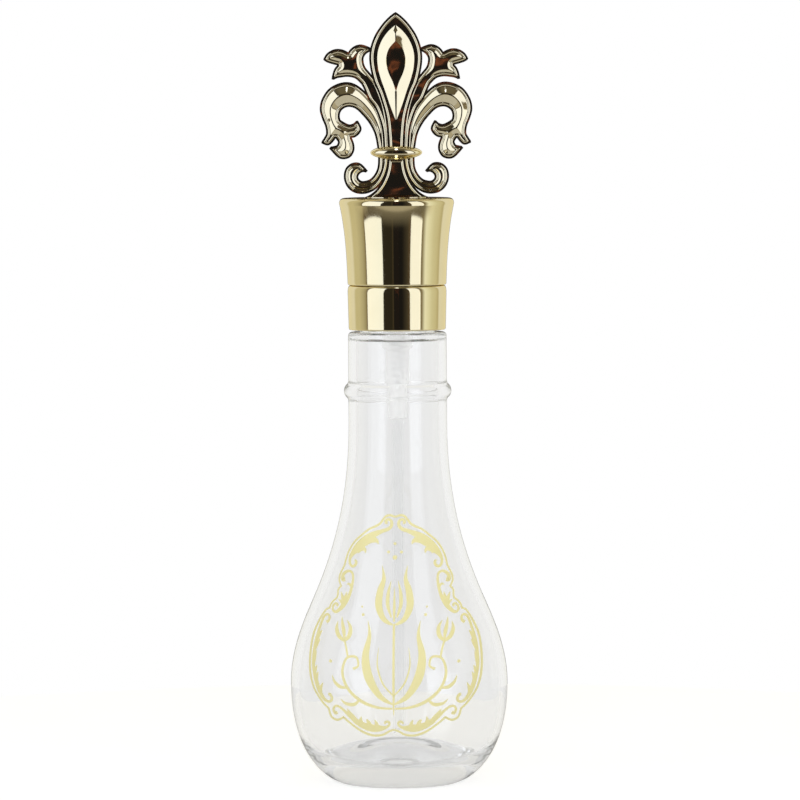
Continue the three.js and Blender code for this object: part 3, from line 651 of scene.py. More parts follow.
def make_stem():
    low, high, foot = limits("stem")
    foot_top, bore_low = low + 1.2, low + 1.3
    outer, bore = 1.6, 0.7
    stem = turned("stem_moulded", [
        (0, low), (foot, low), (foot, foot_top), (outer, foot_top), (outer, high), (bore, high),
        (bore, bore_low), (0, bore_low),
    ], steps=64)
    seat(stem, "stem")


def make_piston():
    low, high, rim = limits("piston")
    hole, waist, lip = 1.7, rim - 0.15, (high - low) / 4
    piston = turned("piston_sleeve", [
        (hole, low), (rim, low), (waist, low + lip), (waist, high - lip), (rim, high), (hole, high),
    ], steps=64, edge=FINE_EDGE)
    seat(piston, "piston")


# Button and nozzle

NOZZLE_REACH = 2


def make_button():
    low, top, radius = limits("actuator_button")
    dish, edge, wall, roof = 0.8, 1.2, 1.1, 1.6
    skirt, skirt_top = radius - 0.25, low + 0.9
    socket, socket_low, socket_bore = 3.15, low + 0.5, 1.75
    under = top - dish - roof
    button = turned("actuator_button_plated", [
        (0, top - dish),
        *curve((0, top - dish), (radius / 2, top - dish), (radius - edge, top)),
        *curve((radius - edge, top), (radius, top), (radius, top - edge), steps=8),
        (radius, skirt_top), (skirt, skirt_top), (skirt, low), (radius - wall, low),
        (radius - wall, under), (socket, under), (socket, socket_low), (0, socket_low),
    ])
    height = sum(span("nozzle_insert")) / 2
    pocket = NOZZLE_REACH + 0.15
    front, back = (corner.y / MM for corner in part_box("nozzle_insert"))
    stem_top = span("stem")[1]
    combine("UNION", button, rod("nozzle_pad", pocket + 1, (0, 0, height), (0, 0.55 - radius, height)))
    combine("DIFFERENCE", button,
            rod("nozzle_pocket", pocket, (0, back + 0.1, height), (0, front - 2, height)),
            rod("stem_socket", socket_bore, (0, 0, low - 1), (0, 0, stem_top + 0.1)))
    seat(button, "actuator_button")


def make_nozzle():
    height = sum(span("nozzle_insert")) / 2
    front, back = (-corner.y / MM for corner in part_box("nozzle_insert"))
    hole, cone, dish, bore, floor = 0.3, 0.75, 1.1, NOZZLE_REACH - 0.7, front - 0.8
    nozzle = turned("nozzle_insert_cup", [
        (hole, floor), (hole, front - 0.45), (cone, front - 0.12), (dish, front), (NOZZLE_REACH, front),
        (NOZZLE_REACH, back), (bore, back), (bore, floor),
    ], steps=64, edge=FINE_EDGE)
    nozzle.data.transform(Matrix.Translation((0, 0, height * MM)) @ Matrix.Rotation(math.pi / 2, 4, "X"))
    seat(nozzle, "nozzle_insert")


# Overcap

def make_cap():
    low, top, crown_reach = limits("cap_shell")
    rim = reach("collar_sleeve")
    wall, edge, crown, hole = 1.3, 1.9, 1.9, 3.15
    hem_reach, hem_height = 0.45, 0.9
    inner = rim - wall
    edge_foot = top - edge
    low_handle, high_handle = blend(low, edge_foot, 0.45), blend(low, edge_foot, 0.7)
    low_flare, high_flare = 0.15 * (crown_reach - rim), 0.35 * (crown_reach - rim)
    inner_crown = (crown_reach - wall - edge, top - crown)
    cap = turned("cap_shell_drawn", [
        (inner, low), (rim - hem_reach, low),
        *curve((rim - hem_reach, low), (rim, low), (rim, low + hem_height), steps=8),
        *curve((rim, low + hem_height), (rim + low_flare, low_handle), (rim + high_flare, high_handle),
               (crown_reach, edge_foot), steps=40),
        *curve((crown_reach, edge_foot), (crown_reach, top), (crown_reach - edge, top), steps=12),
        (hole, top), (hole, top - crown), inner_crown,
        *curve(inner_crown, (inner + high_flare, high_handle), (inner + low_flare, low_handle), (inner, low),
               steps=20)[:-1],
    ], steps=GLASS_STEPS, edge=0)
    seat(cap, "cap_shell")


def make_liner():
    low, top, outer = limits("cap_liner")
    wall, grip_height, roof, tower_height = 1.2, 3.5, 1.4, 3.6
    inner, grip, hole, tower = outer - wall, 11.85, 3.15, 4.95
    ceiling = top - tower_height - roof
    liner = turned("cap_liner_moulded", [
        (grip, low), (outer, low), (outer, top - tower_height), (tower, top - tower_height), (tower, top),
        (hole, top), (hole, ceiling), (inner, ceiling), (inner, low + grip_height), (grip, low + grip_height),
    ])
    seat(liner, "cap_liner")


# Lily finial: places are (reach, height above its foot), depths are from its middle plane

UPPER_LEAF = [
    ((4, 16), (2.2, 16)), ((4.5, 23.5), (2.6, 24)), ((6.6, 30.2), (3.6, 30.6)), ((9.1, 33.8), (5, 35.2)),
    ((10.9, 38), (6.8, 39.3)), ((13, 41.6), (9, 42.2)), ((15.2, 45), (10.9, 44.6)),
    ((16.2, 48.6), (11.5, 47.2)), ((14.6, 51.1), (11, 48.8)), ((11.8, 52), (9.9, 49.9)),
    ((8.2, 50.7), (8.2, 50.7)),
]
UPPER_LEAF_OUTER_LOBE = [
    ((13.5, 47.5), (13.5, 43.5)), ((16.2, 49.3), (16.8, 45)), ((18.6, 50.4), (19.3, 45.6)),
    ((21, 50.4), (21.3, 46.1)), ((23.2, 49.2), (23.2, 46.7)), ((24.4, 47.4), (24.4, 47.4)),
]
UPPER_LEAF_LOWER_LOBE = [
    ((12.6, 45.5), (11.2, 38.8)), ((15.6, 46), (13.6, 41.1)), ((18.2, 45.9), (16.2, 41.8)),
    ((20, 44.8), (18.8, 41.6)), ((21, 43.2), (20.4, 41.3)), ((21.6, 40.7), (21.6, 40.7)),
]
LOWER_LEAF_OUTER = [
    ((3.7, 16), (5.2, 16)), ((4.2, 23.8), (6.4, 22.5)), ((6, 29.6), (8.6, 29.2)),
    ((8.7, 33.6), (11.2, 32.3)), ((12.2, 37.2), (13.2, 34)), ((15.5, 39), (15.6, 35.1)),
    ((19, 38.9), (18.6, 35)), ((22.6, 37.1), (21, 33.6)), ((25, 33.7), (22.3, 31.3)),
    ((25.7, 30.4), (22.6, 29)), ((25, 27.4), (22, 26.2)), ((23.9, 24.6), (21, 24.2)),
    ((23.6, 22), (20.6, 21.6)), ((24.4, 20.3), (23, 18.5)), ((25.3, 19), (25.3, 19)),
]
LOWER_LEAF_INNER = [
    ((5, 16), (5.9, 16)), ((6.2, 23), (6.9, 21.6)), ((8.4, 29.6), (8.9, 25.7)), ((11, 32.7), (11.6, 29)),
    ((13.1, 34.5), (13.6, 30.8)), ((15.6, 35.5), (15.6, 31.5)), ((18.8, 35.4), (17.4, 31.3)),
    ((21.4, 34), (18.9, 30.3)), ((22.8, 31.5), (19.6, 29)), ((23, 29), (19.7, 27.4)),
    ((22.4, 26), (19, 25.4)), ((21.3, 23.8), (17.6, 23.2)), ((20.6, 21), (16, 21)),
    ((19.6, 19.3), (14.9, 18.4)), ((19.8, 18.2), (14.9, 16)), ((20.3, 17.6), (16.4, 14)),
    ((21.3, 17.3), (19.4, 13.9)), ((22.6, 17.1), (22.6, 17.1)),
]
LOWER_LEAF_HOOK = [
    ((20.2, 27), (18.6, 22.8)), ((18.4, 25.7), (16.6, 21.4)), ((16.3, 24.7), (14.6, 21)),
    ((14.8, 24.9), (12.9, 22.2)), ((13.9, 25.5), (12.3, 23.8)), ((13.4, 26.1), (13.4, 26.1)),
]
FOOT_VOLUTE = [
    ((2.8, 14.5), (5.8, 14.5)), ((3, 11.5), (5.9, 11.2)), ((3.7, 8.6), (6.4, 9.1)), ((4.9, 6), (7.6, 7.1)),
    ((6.9, 3.6), (9.1, 5.8)), ((9.4, 2.1), (10.8, 5.3)), ((12.2, 1.7), (12, 5.3)),
    ((14.8, 2.4), (12.9, 5.8)), ((16.7, 4.2), (13.4, 6.5)), ((17.6, 6.9), (13.5, 7.3)),
    ((17.1, 9.7), (13.1, 8.2)), ((15.2, 11.4), (12.3, 8.9)), ((12.6, 11.4), (11.4, 9.2)),
    ((10.2, 9), (10.2, 9)),
]
PETAL_SIDE = [
    (2.4, 16), (2.55, 21), (3.3, 28), (5.3, 35.1), (7.4, 40.3), (8.6, 46.5), (8.3, 51), (6.75, 55.3),
    (4.3, 59), (1.95, 61.5), (0, 63),
]
BOSS_SIDE = [
    (0, 26.2), (2, 31.5), (3.6, 36.3), (5.2, 40.9), (6.3, 45.6), (6.2, 49.9), (4.8, 53.8), (2.6, 56.9),
    (0, 59.2),
]
BOSS_SHOULDER = 45
BOSS_LEAN = 0.04
EYE_SIDE = [(0, 36.7), (0.9, 39.5), (2.3, 42.6), (3.1, 45.6), (3.1, 48), (2.2, 50.9), (0, 53.5)]
EYE_FLOOR = 2.95
RIDGE_FLAT = 0.16
RING_SECTION = [
    (0, 12.3), (3, 12.9), (6, 13.6), (8.2, 14.5), (8.9, 15.4), (8.2, 16.3), (6, 17.2), (3, 17.7), (0, 18.3),
]
RING_DEPTH = 5
RING_FULLNESS = 0.55
TRUMPET_REACH = 11
TRUMPET_DEPTH = 2.7
SKIRT_NARROW = 4.4

# Relief of a leaf by the distance from its outline: a flat ledge, a rim bead, a groove, then a facet that
# rises to its crest
OUTLINE_GROWTH = 0.45
LEDGE, BEAD_END, GROOVE_END = 0.74, 1.42, 1.56
BEAD_RISE = 0.18
FACET_SLOPE = math.tan(math.radians(27))
LEAF_DEPTH = 1.35
UPPER_LEAF_DEPTH = 1.55
PETAL_DEPTH = 1.8
NO_CROWN = 9
STAR_CROWN = 0.42
STAR_FOOT = 41
CROWN_RUN = 3
VOLUTE_CROWN = 0.3
RELIEF_STEP = 0.125
SOFT_PASSES = 10
RELIEF_MARGIN = 1
PLATE_DEPTH = 7
SIDE_STATIONS = 60
CREST_ANGLE = math.radians(55)
FRONT_AND_BACK = (False, True, False)
LEFT_AND_RIGHT = (True, False, False)


def grown(outline):
    """A closed outline moved outwards by the width of the casting's outer edge."""
    points = [Vector(place) for place in outline]
    ahead = points[1:] + points[:1]
    area = sum(here.x * after.y - here.y * after.x for here, after in zip(points, ahead))
    side = math.copysign(OUTLINE_GROWTH, area)
    moved = []
    for before, here, after in zip(points[-1:] + points[:-1], points, ahead):
        along = (after - before).normalized()
        moved.append((here.x + side * along.y, here.y - side * along.x))
    return moved


def leaf_outline(pairs, foot, stations):
    """Closed outline around a leaf, up one edge and down the other."""
    left, right = (spline_points([pair[k] for pair in pairs], stations) for k in (0, 1))
    return grown([(place.x, foot + place.y) for place in left + right[-2::-1]])


def petal_outline(foot):
    right = [(place.x, foot + place.y) for place in spline_points(PETAL_SIDE, SIDE_STATIONS)]
    return grown(right + [(-x, z) for x, z in right[-2::-1]])


def plate(outline):
    """A flat plate on the finial's middle plane."""
    piece = drawn("leaf_plate", outline, "NGON", -PLATE_DEPTH)
    edit_all(piece)
    bpy.ops.mesh.extrude_region_move(TRANSFORM_OT_translate={"value": (0, 2 * PLATE_DEPTH * MM, 0)})
    end_edit()
    return close_skin(piece)


def rim_lines(silhouette):
    """The outline of a plate as start and end points (x, z) in millimetres."""
    uses = {}
    for face in silhouette.data.polygons:
        if face.normal.y < -0.9:
            for key in face.edge_keys:
                uses[key] = uses.get(key, 0) + 1
    rim = [key for key, count in uses.items() if count == 1]
    ends = [[silhouette.data.vertices[k].co / MM for k in key] for key in rim]
    return np.array([[(a.x, a.z), (b.x, b.z)] for a, b in ends])


def distance_to(lines, across, up):
    points = np.stack([across, up], axis=-1)
    nearest = np.full(across.shape, np.inf)
    for start, end in lines:
        along = end - start
        share = np.clip((points - start) @ along / max(along @ along, MERGE), 0, 1)
        nearest = np.minimum(nearest, np.linalg.norm(points - start - share[..., None] * along, axis=-1))
    return nearest


def soften(field):
    """Rounds the crests of a distance field."""
    for _ in range(SOFT_PASSES):
        field = (2 * field + sum(np.roll(field, step, axis) for step in (1, -1) for axis in (0, 1))) / 6
    return field


def relief(name, outlines, depth, crown, both_sides=True, open_foot=0, crown_foot=0):
    """Leaves with a rim bead and facets, front and back, cut to the shared outline of their plates.

    Edges below the open foot get no bead. Facets start at the crown's foot, above a flat channel.
    """
    silhouette = combine("UNION", *[plate(outline) for outline in outlines])
    places = np.array([corner.co for corner in silhouette.data.vertices]) / MM
    low = places.min(axis=0) - RELIEF_MARGIN
    high = places.max(axis=0) + RELIEF_MARGIN
    columns, rows = (int((high[k] - low[k]) / RELIEF_STEP) for k in (0, 2))
    across, up = np.meshgrid(np.linspace(low[0], high[0], columns + 1),
                             np.linspace(low[2], high[2], rows + 1))
    lines = rim_lines(silhouette)
    distance = distance_to(lines[lines[..., 1].max(axis=1) > open_foot], across, up)
    bead_share = np.clip((distance - LEDGE) / (BEAD_END - LEDGE), 0, 1)
    bead = BEAD_RISE * (1 - np.abs(2 * bead_share - 1))
    limit = crown * np.clip((up - crown_foot) / CROWN_RUN, 0, 1)
    facet = np.minimum(FACET_SLOPE * np.clip(soften(distance) - GROOVE_END, 0, None), limit)
    height = depth + bead + facet
    height[0, :] = height[-1, :] = 0
    height[:, 0] = height[:, -1] = 0

    leaf = sheet(name, columns, rows)
    leaf.data.vertices.foreach_set("co", (np.stack([across, -height, up], axis=-1) * MM).ravel())
    leaf.data.update()
    mirror(leaf, FRONT_AND_BACK, True)
    combine("INTERSECT", close_skin(leaf), silhouette)
    if both_sides:
        mirror(leaf, LEFT_AND_RIGHT, False)
    return leaf


def loft(name, row, columns, stations):
    """A closed band: row(share along) gives one row of (x, half depth, z), mirrored to the back."""
    band = sheet(name, columns - 1, stations)
    put(band, [(x, -depth, z) for i in range(stations + 1) for x, depth, z in row(i / stations)])
    mirror(band, FRONT_AND_BACK, True)
    return close_skin(band)


def eye_half(height):
    """Half width of the lens along the boss's ridge; elsewhere the ridge is a narrow flat."""
    side = spline_points(EYE_SIDE, SIDE_STATIONS)
    return RIDGE_FLAT + np.interp(height, [place.y for place in side], [max(place.x, 0) for place in side])


def boss(foot):
    """Two facets that rise to a ridge, with a flat-floored lens cut into its middle."""
    steps_up = 4
    steps_in = (0.97, 0.75, 0.5, 0.25, 0)

    def row(share):
        side = spline(BOSS_SIDE, share)
        along = spline_run(BOSS_SIDE, share, 0.01)
        half = max(side.x, 0)
        lens = eye_half(side.y)
        eye = min(lens, half)
        rise = FACET_SLOPE * (half - eye) * along.y / along.length
        base = PETAL_DEPTH - 0.05 + BOSS_LEAN * max(BOSS_SHOULDER - side.y, 0)
        floor = min(base + rise, EYE_FLOOR) if lens > RIDGE_FLAT else base + rise
        flank = [(half, 0), (half, base / 2), (half, base)]
        for k in range(1, steps_up + 1):
            flank.append((blend(half, eye, k / steps_up), base + rise * k / steps_up))
        flank += [(eye * inwards, floor) for inwards in steps_in]
        opening = 0 if share in (0, 1) else 1
        places = [(-out, depth) for out, depth in flank] + [(out, depth) for out, depth in flank[-2::-1]]
        return [(x, depth * opening, foot + side.y) for x, depth in places]

    return loft("petal_boss", row, len(row(0)), 160)


def stacked(name, rows, sides=96):
    """Ovals of (half width, half depth, height) skinned from the bottom up and closed at both ends."""
    piece = sheet(name, sides, len(rows) - 1)
    around = [(math.cos(FULL_TURN * k / sides), math.sin(FULL_TURN * k / sides)) for k in range(sides + 1)]
    put(piece, [(wide * x, deep * y, height) for wide, deep, height in rows for x, y in around])
    return fill_ends(piece)


def stem_ring(foot):
    side = spline_points(RING_SECTION, 64)
    widest = max(place.x for place in side)
    rows = []
    for place in side:
        out = max(place.x, 0)
        rows.append((out, RING_DEPTH * (out / widest) ** RING_FULLNESS, foot + place.y))
    return stacked("stem_ring", rows)


def trumpet(foot):
    """The flat-fronted flare under the ring, with a low oval foot."""
    side = [(TRUMPET_REACH, 0), *curve((TRUMPET_REACH, 0.1), (6.5, 1.5), (3, 7), (3, 13.6), steps=40)]
    right = [(out, foot + height) for out, height in side]
    outline = right + [(-x, z) for x, z in right[::-1]]
    flare = relief("trumpet_flare", [outline], TRUMPET_DEPTH, 0, both_sides=False, open_foot=foot + 0.05)
    skirt = curve((TRUMPET_REACH, 0.25), (TRUMPET_REACH - 2.4, 0.4), (TRUMPET_REACH - 4.4, 1.2), steps=10)
    rows = [(TRUMPET_REACH, TRUMPET_REACH - SKIRT_NARROW, foot + height) for height in (0, 0.2)]
    rows += [(out, out - SKIRT_NARROW, foot + height) for out, height in skirt]
    return combine("UNION", flare, stacked("trumpet_foot", rows))


def make_finial():
    low = span("lily_finial")[0]
    foot = span("cap_shell")[1] + 0.1
    upper = [leaf_outline(pairs, foot, count) for pairs, count in (
        (UPPER_LEAF, 60), (UPPER_LEAF_OUTER_LOBE, 30), (UPPER_LEAF_LOWER_LOBE, 30))]
    lower = [leaf_outline(pairs, foot, count) for pairs, count in (
        (LOWER_LEAF_OUTER, 84), (LOWER_LEAF_INNER, 90), (LOWER_LEAF_HOOK, 30))]
    heart = relief("lily_petal_cast", [petal_outline(foot)], PETAL_DEPTH, 0, both_sides=False)
    combine("UNION", heart, boss(foot), stem_ring(foot), trumpet(foot),
            rod("spigot", 3, (0, 0, low), (0, 0, foot + 0.2)))
    leaves = [
        relief("lily_upper_leaves_cast", upper, UPPER_LEAF_DEPTH, STAR_CROWN, crown_foot=foot + STAR_FOOT),
        relief("lily_lower_leaves_cast", lower, LEAF_DEPTH, NO_CROWN),
        relief("lily_volutes_cast", [leaf_outline(FOOT_VOLUTE, foot, 80)], LEAF_DEPTH, VOLUTE_CROWN),
    ]
    for piece in (heart, *leaves):
        seat(piece, "lily_finial", smooth_angle=CREST_ANGLE)


# Gold print on the front of the glass: strokes of (across, height, width), right half

PRINT_TURN = math.radians(-3)
INK_LIFT, INK_DEPTH = 0.02, 0.03
LAYER_LIFT = 0.004
STROKE_STEPS = 7
STROKE_LEAST = 0.1

CONTOUR = [
    [(0, 93, 0.7), (1.8, 93.5, 0.8), (3.1, 93.2, 0.8), (4.1, 92.1, 0.8), (5.2, 90.7, 0.8), (6.8, 89.7, 0.8),
     (9, 88.7, 0.7), (11.4, 86.8, 0.7), (13.9, 84.5, 0.65), (15.6, 82, 0.6), (16.8, 79.2, 0.6),
     (17.5, 76.4, 0.6)],
    [(17.4, 76.6, 0.6), (18.6, 74.2, 0.6), (19.2, 72.7, 0.6), (19.3, 71, 0.6), (18.5, 69.1, 0.6)],
    [(18.6, 69.4, 0.6), (19.6, 68.1, 0.6), (19.7, 66.7, 0.6), (20, 65.5, 0.6), (21.2, 64.4, 0.6),
     (22.1, 63.2, 0.6), (22.6, 61.8, 0.6)],
    [(22.5, 61.9, 0.6), (23.7, 61.4, 0.6), (24.9, 59.8, 0.6), (26.5, 57, 0.65), (28, 53.6, 0.7),
     (28.8, 50.1, 0.7), (29.2, 46.5, 0.75), (29.3, 42.6, 0.75), (28.9, 38.8, 0.75), (27.7, 35, 0.7),
     (26.1, 32.4, 0.7), (24.2, 30, 0.7), (22.4, 28.5, 0.7)],
    [(22.5, 28.7, 0.7), (22, 26.7, 0.7), (21.2, 25.4, 0.75), (19.7, 24.8, 0.8), (18.5, 25.1, 0.75),
     (17.3, 25.9, 0.7)],
    [(17.5, 26, 0.7), (15.8, 24.6, 0.7), (13.3, 22.7, 0.75), (10.5, 21, 0.8), (7.7, 20, 0.8),
     (5.5, 19.9, 0.8), (3.5, 20.3, 0.75), (1.6, 21.4, 0.7), (0, 22, 0.7)],
]
SCROLLS = [
    [(2.6, 90.9, 0.9), (3.2, 91.1, 1.0), (3.0, 91.9, 0.9), (2.1, 92.1, 0.9), (1.3, 91.4, 1.0),
     (1.3, 90, 1.1), (2.4, 88.9, 1.2), (4.4, 88.2, 1.3), (6.6, 87.3, 1.9), (9, 85.9, 2.7),
     (11.4, 83.9, 3.0), (13.5, 81.8, 2.4), (15, 80, 1.4), (15.7, 78.4, 0.9), (15.6, 76.9, 0.9),
     (14.8, 76.1, 0.9), (13.8, 76.5, 0.9), (13.4, 77.6, 0.9), (13.9, 78.3, 0.6)],
    [(17.2, 71.7, 1.4), (18.1, 71.6, 1.3), (17.9, 73.2, 1.1), (16.4, 74.4, 0.9), (14.9, 74.1, 0.8),
     (14.4, 72.4, 0.8), (14.7, 69.9, 0.9), (15.3, 67.5, 1.0), (16.3, 65.2, 1.3), (17.7, 63.1, 1.5),
     (19.2, 61.5, 1.2), (20.5, 60.8, 0.9), (21.4, 61.5, 0.8), (21.2, 62.9, 0.7), (20.3, 63.6, 0.7),
     (19.7, 63.2, 0.7), (20.1, 62.6, 0.6)],
    [(23.6, 57.3, 1.0), (22.8, 57.8, 0.9), (22.5, 59.1, 0.8), (23.2, 59.8, 0.8), (24.3, 59.2, 0.8),
     (25.2, 57.4, 0.8), (26.4, 53.9, 0.9), (27.4, 50, 1.0), (27.9, 46.6, 1.0), (28, 43.3, 1.1),
     (27.5, 40, 1.3), (26.7, 36.8, 1.5), (25.7, 34.2, 1.4), (24.3, 31.9, 1.2), (22.9, 30.9, 0.9),
     (21.7, 31.1, 0.9), (21.3, 32.2, 0.9), (22, 33.3, 1.1), (22.6, 33.4, 0.8)],
    [(19.4, 27.4, 1.2), (20.2, 27.1, 1.0), (20.8, 28.4, 0.8), (20.1, 29.5, 0.8), (18.8, 29.4, 0.8),
     (17.2, 28.3, 0.9), (15.6, 26.9, 1.2), (14, 25.6, 1.6), (12.4, 24.4, 1.9), (10.5, 23.3, 2.2),
     (7.7, 22.5, 2.6), (5, 22.4, 2.2), (2.9, 22.7, 1.1), (1.6, 23.6, 0.8), (1.7, 24.6, 0.8),
     (2.7, 24.7, 0.8), (3.1, 24, 0.7)],
]
LEAVES = [
    [(10.6, 84.2, 2.6), (8.8, 85.1, 2.3), (7.2, 85.2, 1.9), (6.2, 84.7, 1.2), (5.7, 83.8, 0.2)],
    [(13.3, 81.3, 2.2), (12.2, 82, 1.9), (11.1, 82.2, 1.6), (10.4, 81.7, 1.1), (10.2, 80.7, 0.2)],
    [(15, 69.4, 0.9), (15.8, 70.3, 0.7), (16.6, 69.9, 0.2)],
    [(17.2, 63.6, 1.4), (17, 65.6, 1.2), (16.5, 67.6, 0.2)],
    [(17.6, 63.8, 1.4), (18, 65.7, 1.1), (18.6, 67.5, 0.2)],
    [(17.9, 63.6, 1.2), (18.6, 64.4, 0.8), (19.4, 65, 0.2)],
    [(27.2, 50, 0.9), (26.3, 52.6, 1.2), (25, 54.5, 0.2)],
    [(27.5, 48, 0.8), (26.7, 50, 1.0), (25.7, 51.5, 0.2)],
    [(27.9, 43, 0.9), (27.4, 45.6, 0.8), (27, 47.8, 0.2)],
    [(27.6, 39.5, 0.9), (27.1, 41.3, 0.8), (26.7, 42.9, 0.2)],
    [(27, 37.4, 1.2), (26.7, 39.2, 1.0), (26.2, 40.7, 0.2)],
    [(25.6, 33.4, 1.6), (25.3, 35.3, 1.2), (24.5, 37.2, 0.2)],
    [(12.2, 23.8, 1.6), (14.1, 26, 1.8), (16, 28.8, 0.2)],
    [(11.2, 23.4, 1.8), (11.3, 24.8, 1.4), (11.1, 26.4, 0.2)],
    [(8.2, 22.8, 1.9), (8.5, 24.2, 1.4), (9.3, 25.4, 0.5)],
    [(5.8, 22.6, 1.7), (5.9, 24, 1.2), (6.5, 25.3, 0.3)],
]
SPRIG = [
    [(0.6, 57.2, 0.7), (3.6, 59.2, 1.7), (5.3, 63.4, 2.4), (4.9, 68.2, 2.2), (3.7, 72.3, 1.3),
     (4.3, 76.6, 0.15)],
    [(0.9, 59.6, 0.5), (2.2, 63.6, 1.2), (2.1, 67.6, 1.1), (1.2, 71.6, 0.15)],
    [(0, 30.5, 0.5), (4.6, 33.4, 1.9), (8.4, 39.6, 3.0), (9.6, 46.6, 2.5), (8.3, 53.6, 1.2),
     (8.9, 58.4, 0.15)],
    [(0, 33.5, 0.5), (3.6, 37.6, 0.6), (5.5, 43.6, 0.5), (5.1, 49.6, 0.15)],
    [(0.4, 29.2, 0.6), (5.6, 29.6, 0.9), (11, 31.6, 1.1), (15.6, 35.6, 1.0), (17.6, 41, 0.9),
     (16.2, 45.8, 0.8), (12.9, 46.4, 0.8), (12.1, 43.6, 0.7), (13.9, 42.4, 0.9)],
    [(15.7, 46, 0.6), (16.3, 49.2, 0.7), (17, 51.8, 0.6)],
    [(17, 51.6, 0.9), (15.3, 53.4, 1.4), (15, 56.1, 1.2), (16.2, 58.4, 0.15)],
    [(17, 51.6, 0.9), (18.9, 53, 1.4), (19.8, 55.4, 1.2), (19.4, 57.9, 0.15)],
    [(17, 52.4, 0.6), (17.3, 54.9, 1.3), (17.8, 57.4, 0.9), (18, 59.4, 0.15)],
    [(11.6, 32, 0.6), (13.6, 30.4, 1.2), (16.4, 30.6, 1.0), (18.2, 32, 0.15)],
    [(15.9, 36, 0.6), (18.4, 36.2, 1.2), (20.4, 37.9, 0.9), (21.2, 40, 0.15)],
]
SPRIG_MIDDLE = [
    [(0, 27, 0.3), (0, 34, 0.8), (0, 46, 0.8), (0, 57.6, 0.8)],
    [(0, 58.2, 0.6), (0, 62.4, 0.9), (0, 66.4, 0.6), (0, 69.4, 0.15)],
]
DOTS = [
    (0, 79.4, 0.75), (2.2, 81.2, 0.5), (21.8, 44.6, 0.55), (10.6, 60.4, 0.5), (11, 63, 0.35), (0, 84, 0.5),
]


def on_glass(across, height, lift):
    """A place on the front of the glass, turned to the print's own middle."""
    out = glass_reach(height) + lift
    place = Vector((across, -math.sqrt(out * out - across * across), height)) * MM
    return Matrix.Rotation(PRINT_TURN, 3, "Z") @ place


def face_out(piece):
    """Turns an open strip's faces away from the bottle's axis."""
    face = piece.data.polygons[0]
    outwards = Vector((face.center.x, face.center.y, 0))
    if face.normal.dot(outwards) < 0:
        piece.data.flip_normals()
    return piece


def stroke(points, lift, flip):
    steps = STROKE_STEPS * (len(points) - 1)
    ribbon = sheet("print_stroke", 2, steps)
    places = []
    for i in range(steps + 1):
        here = spline(points, i / steps)
        ahead = spline_run(points, i / steps, 0.004)
        across = Vector((-ahead.y, ahead.x)).normalized() * max(here.z, STROKE_LEAST) / 2
        places += [(here.x + side * across.x, here.y + side * across.y) for side in (-1, 0, 1)]
    for corner, (across, height) in zip(ribbon.data.vertices, places):
        corner.co = on_glass(flip * across, height, lift)
    return face_out(ribbon)


def dot(across, height, radius, lift, flip):
    clear_selection()
    bpy.ops.mesh.primitive_circle_add(vertices=20, fill_type="TRIFAN", radius=1)
    disc = named("print_dot")
    for corner in disc.data.vertices:
        corner.co = on_glass(flip * (across + corner.co.x * radius), height + corner.co.y * radius, lift)
    return face_out(disc)


def make_print():
    strokes = []
    for layer, group in enumerate((CONTOUR, SCROLLS, LEAVES, SPRIG)):
        lift = INK_LIFT + LAYER_LIFT * layer
        strokes += [stroke(points, lift, flip) for points in group for flip in (1, -1)]
    strokes += [stroke(points, INK_LIFT, 1) for points in SPRIG_MIDDLE]
    strokes += [dot(*place, INK_LIFT, flip) for place in DOTS for flip in ((1, -1) if place[0] else (1,))]
    ink = join(strokes, "gold_print")
    apply_modifier(ink, "SOLIDIFY", thickness=INK_DEPTH * MM, offset=1)
    coat(ink, GOLD_INK)
    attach(ink, "bottle")


# Stage in metres: floor, softboxes, the room that the metal and the glass show, and the camera

FLOOR_RADIUS = 0.32
FLOOR_DROP = 0.0002
FLOOR_GLOW, FLOOR_SEEN, FLOOR_MIRRORED = 0.1, 0.77, 0.15
LAMP_COLOUR = (0.87, 0.92, 1.0)
FILL_COLOUR = (1.0, 1.0, 1.0)
CAMERA_PLACE = (0, -2, 0.2463)
CAMERA_AIM = (0.0008, 0, 0.1317)
CAMERA_ROLL = -0.32
CAMERA_LENS = 262.3


def make_floor():
    """A white table that shows the object's shadow, and elsewhere is as white as the backdrop."""
    clear_selection()
    bpy.ops.mesh.primitive_circle_add(vertices=128, radius=FLOOR_RADIUS, fill_type="TRIFAN",
                                      location=(0, 0, -FLOOR_DROP))
    floor = named("studio_floor")
    finish, tree, shader = new_finish("white_table", Roughness=0.6, Specular_IOR_Level=0.1,
                                      Emission_Color=(1, 1, 1, 1))
    tones = [(0.3, (0.42, 0.42, 0.41)), (0.7, (0.44, 0.44, 0.43))]
    feed(shader.inputs["Base Color"], colour_range(tree, pattern(tree, 40), tones))
    path = tree.nodes.new("ShaderNodeLightPath").outputs
    straight = maths(tree, "MAXIMUM", path["Is Camera Ray"], path["Is Transmission Ray"])
    mirrored = number_range(tree, path["Is Glossy Ray"], 0, FLOOR_MIRRORED)
    seen = maths(tree, "MAXIMUM", straight, mirrored)
    feed(shader.inputs["Emission Strength"], number_range(tree, seen, FLOOR_GLOW, FLOOR_SEEN))
    floor.data.materials.append(finish)


def set_up(name, data, place, aim, roll):
    """Puts a lamp or a camera in its place, looking at its aim and rolled by degrees."""
    holder = bpy.data.objects.new(name, data)
    bpy.context.scene.collection.objects.link(holder)
    holder.location = place
    look = (Vector(aim) - Vector(place)).to_track_quat("-Z", "Y").to_matrix()
    holder.rotation_euler = (look @ Matrix.Rotation(math.radians(roll), 3, "Z")).to_euler()
    return holder


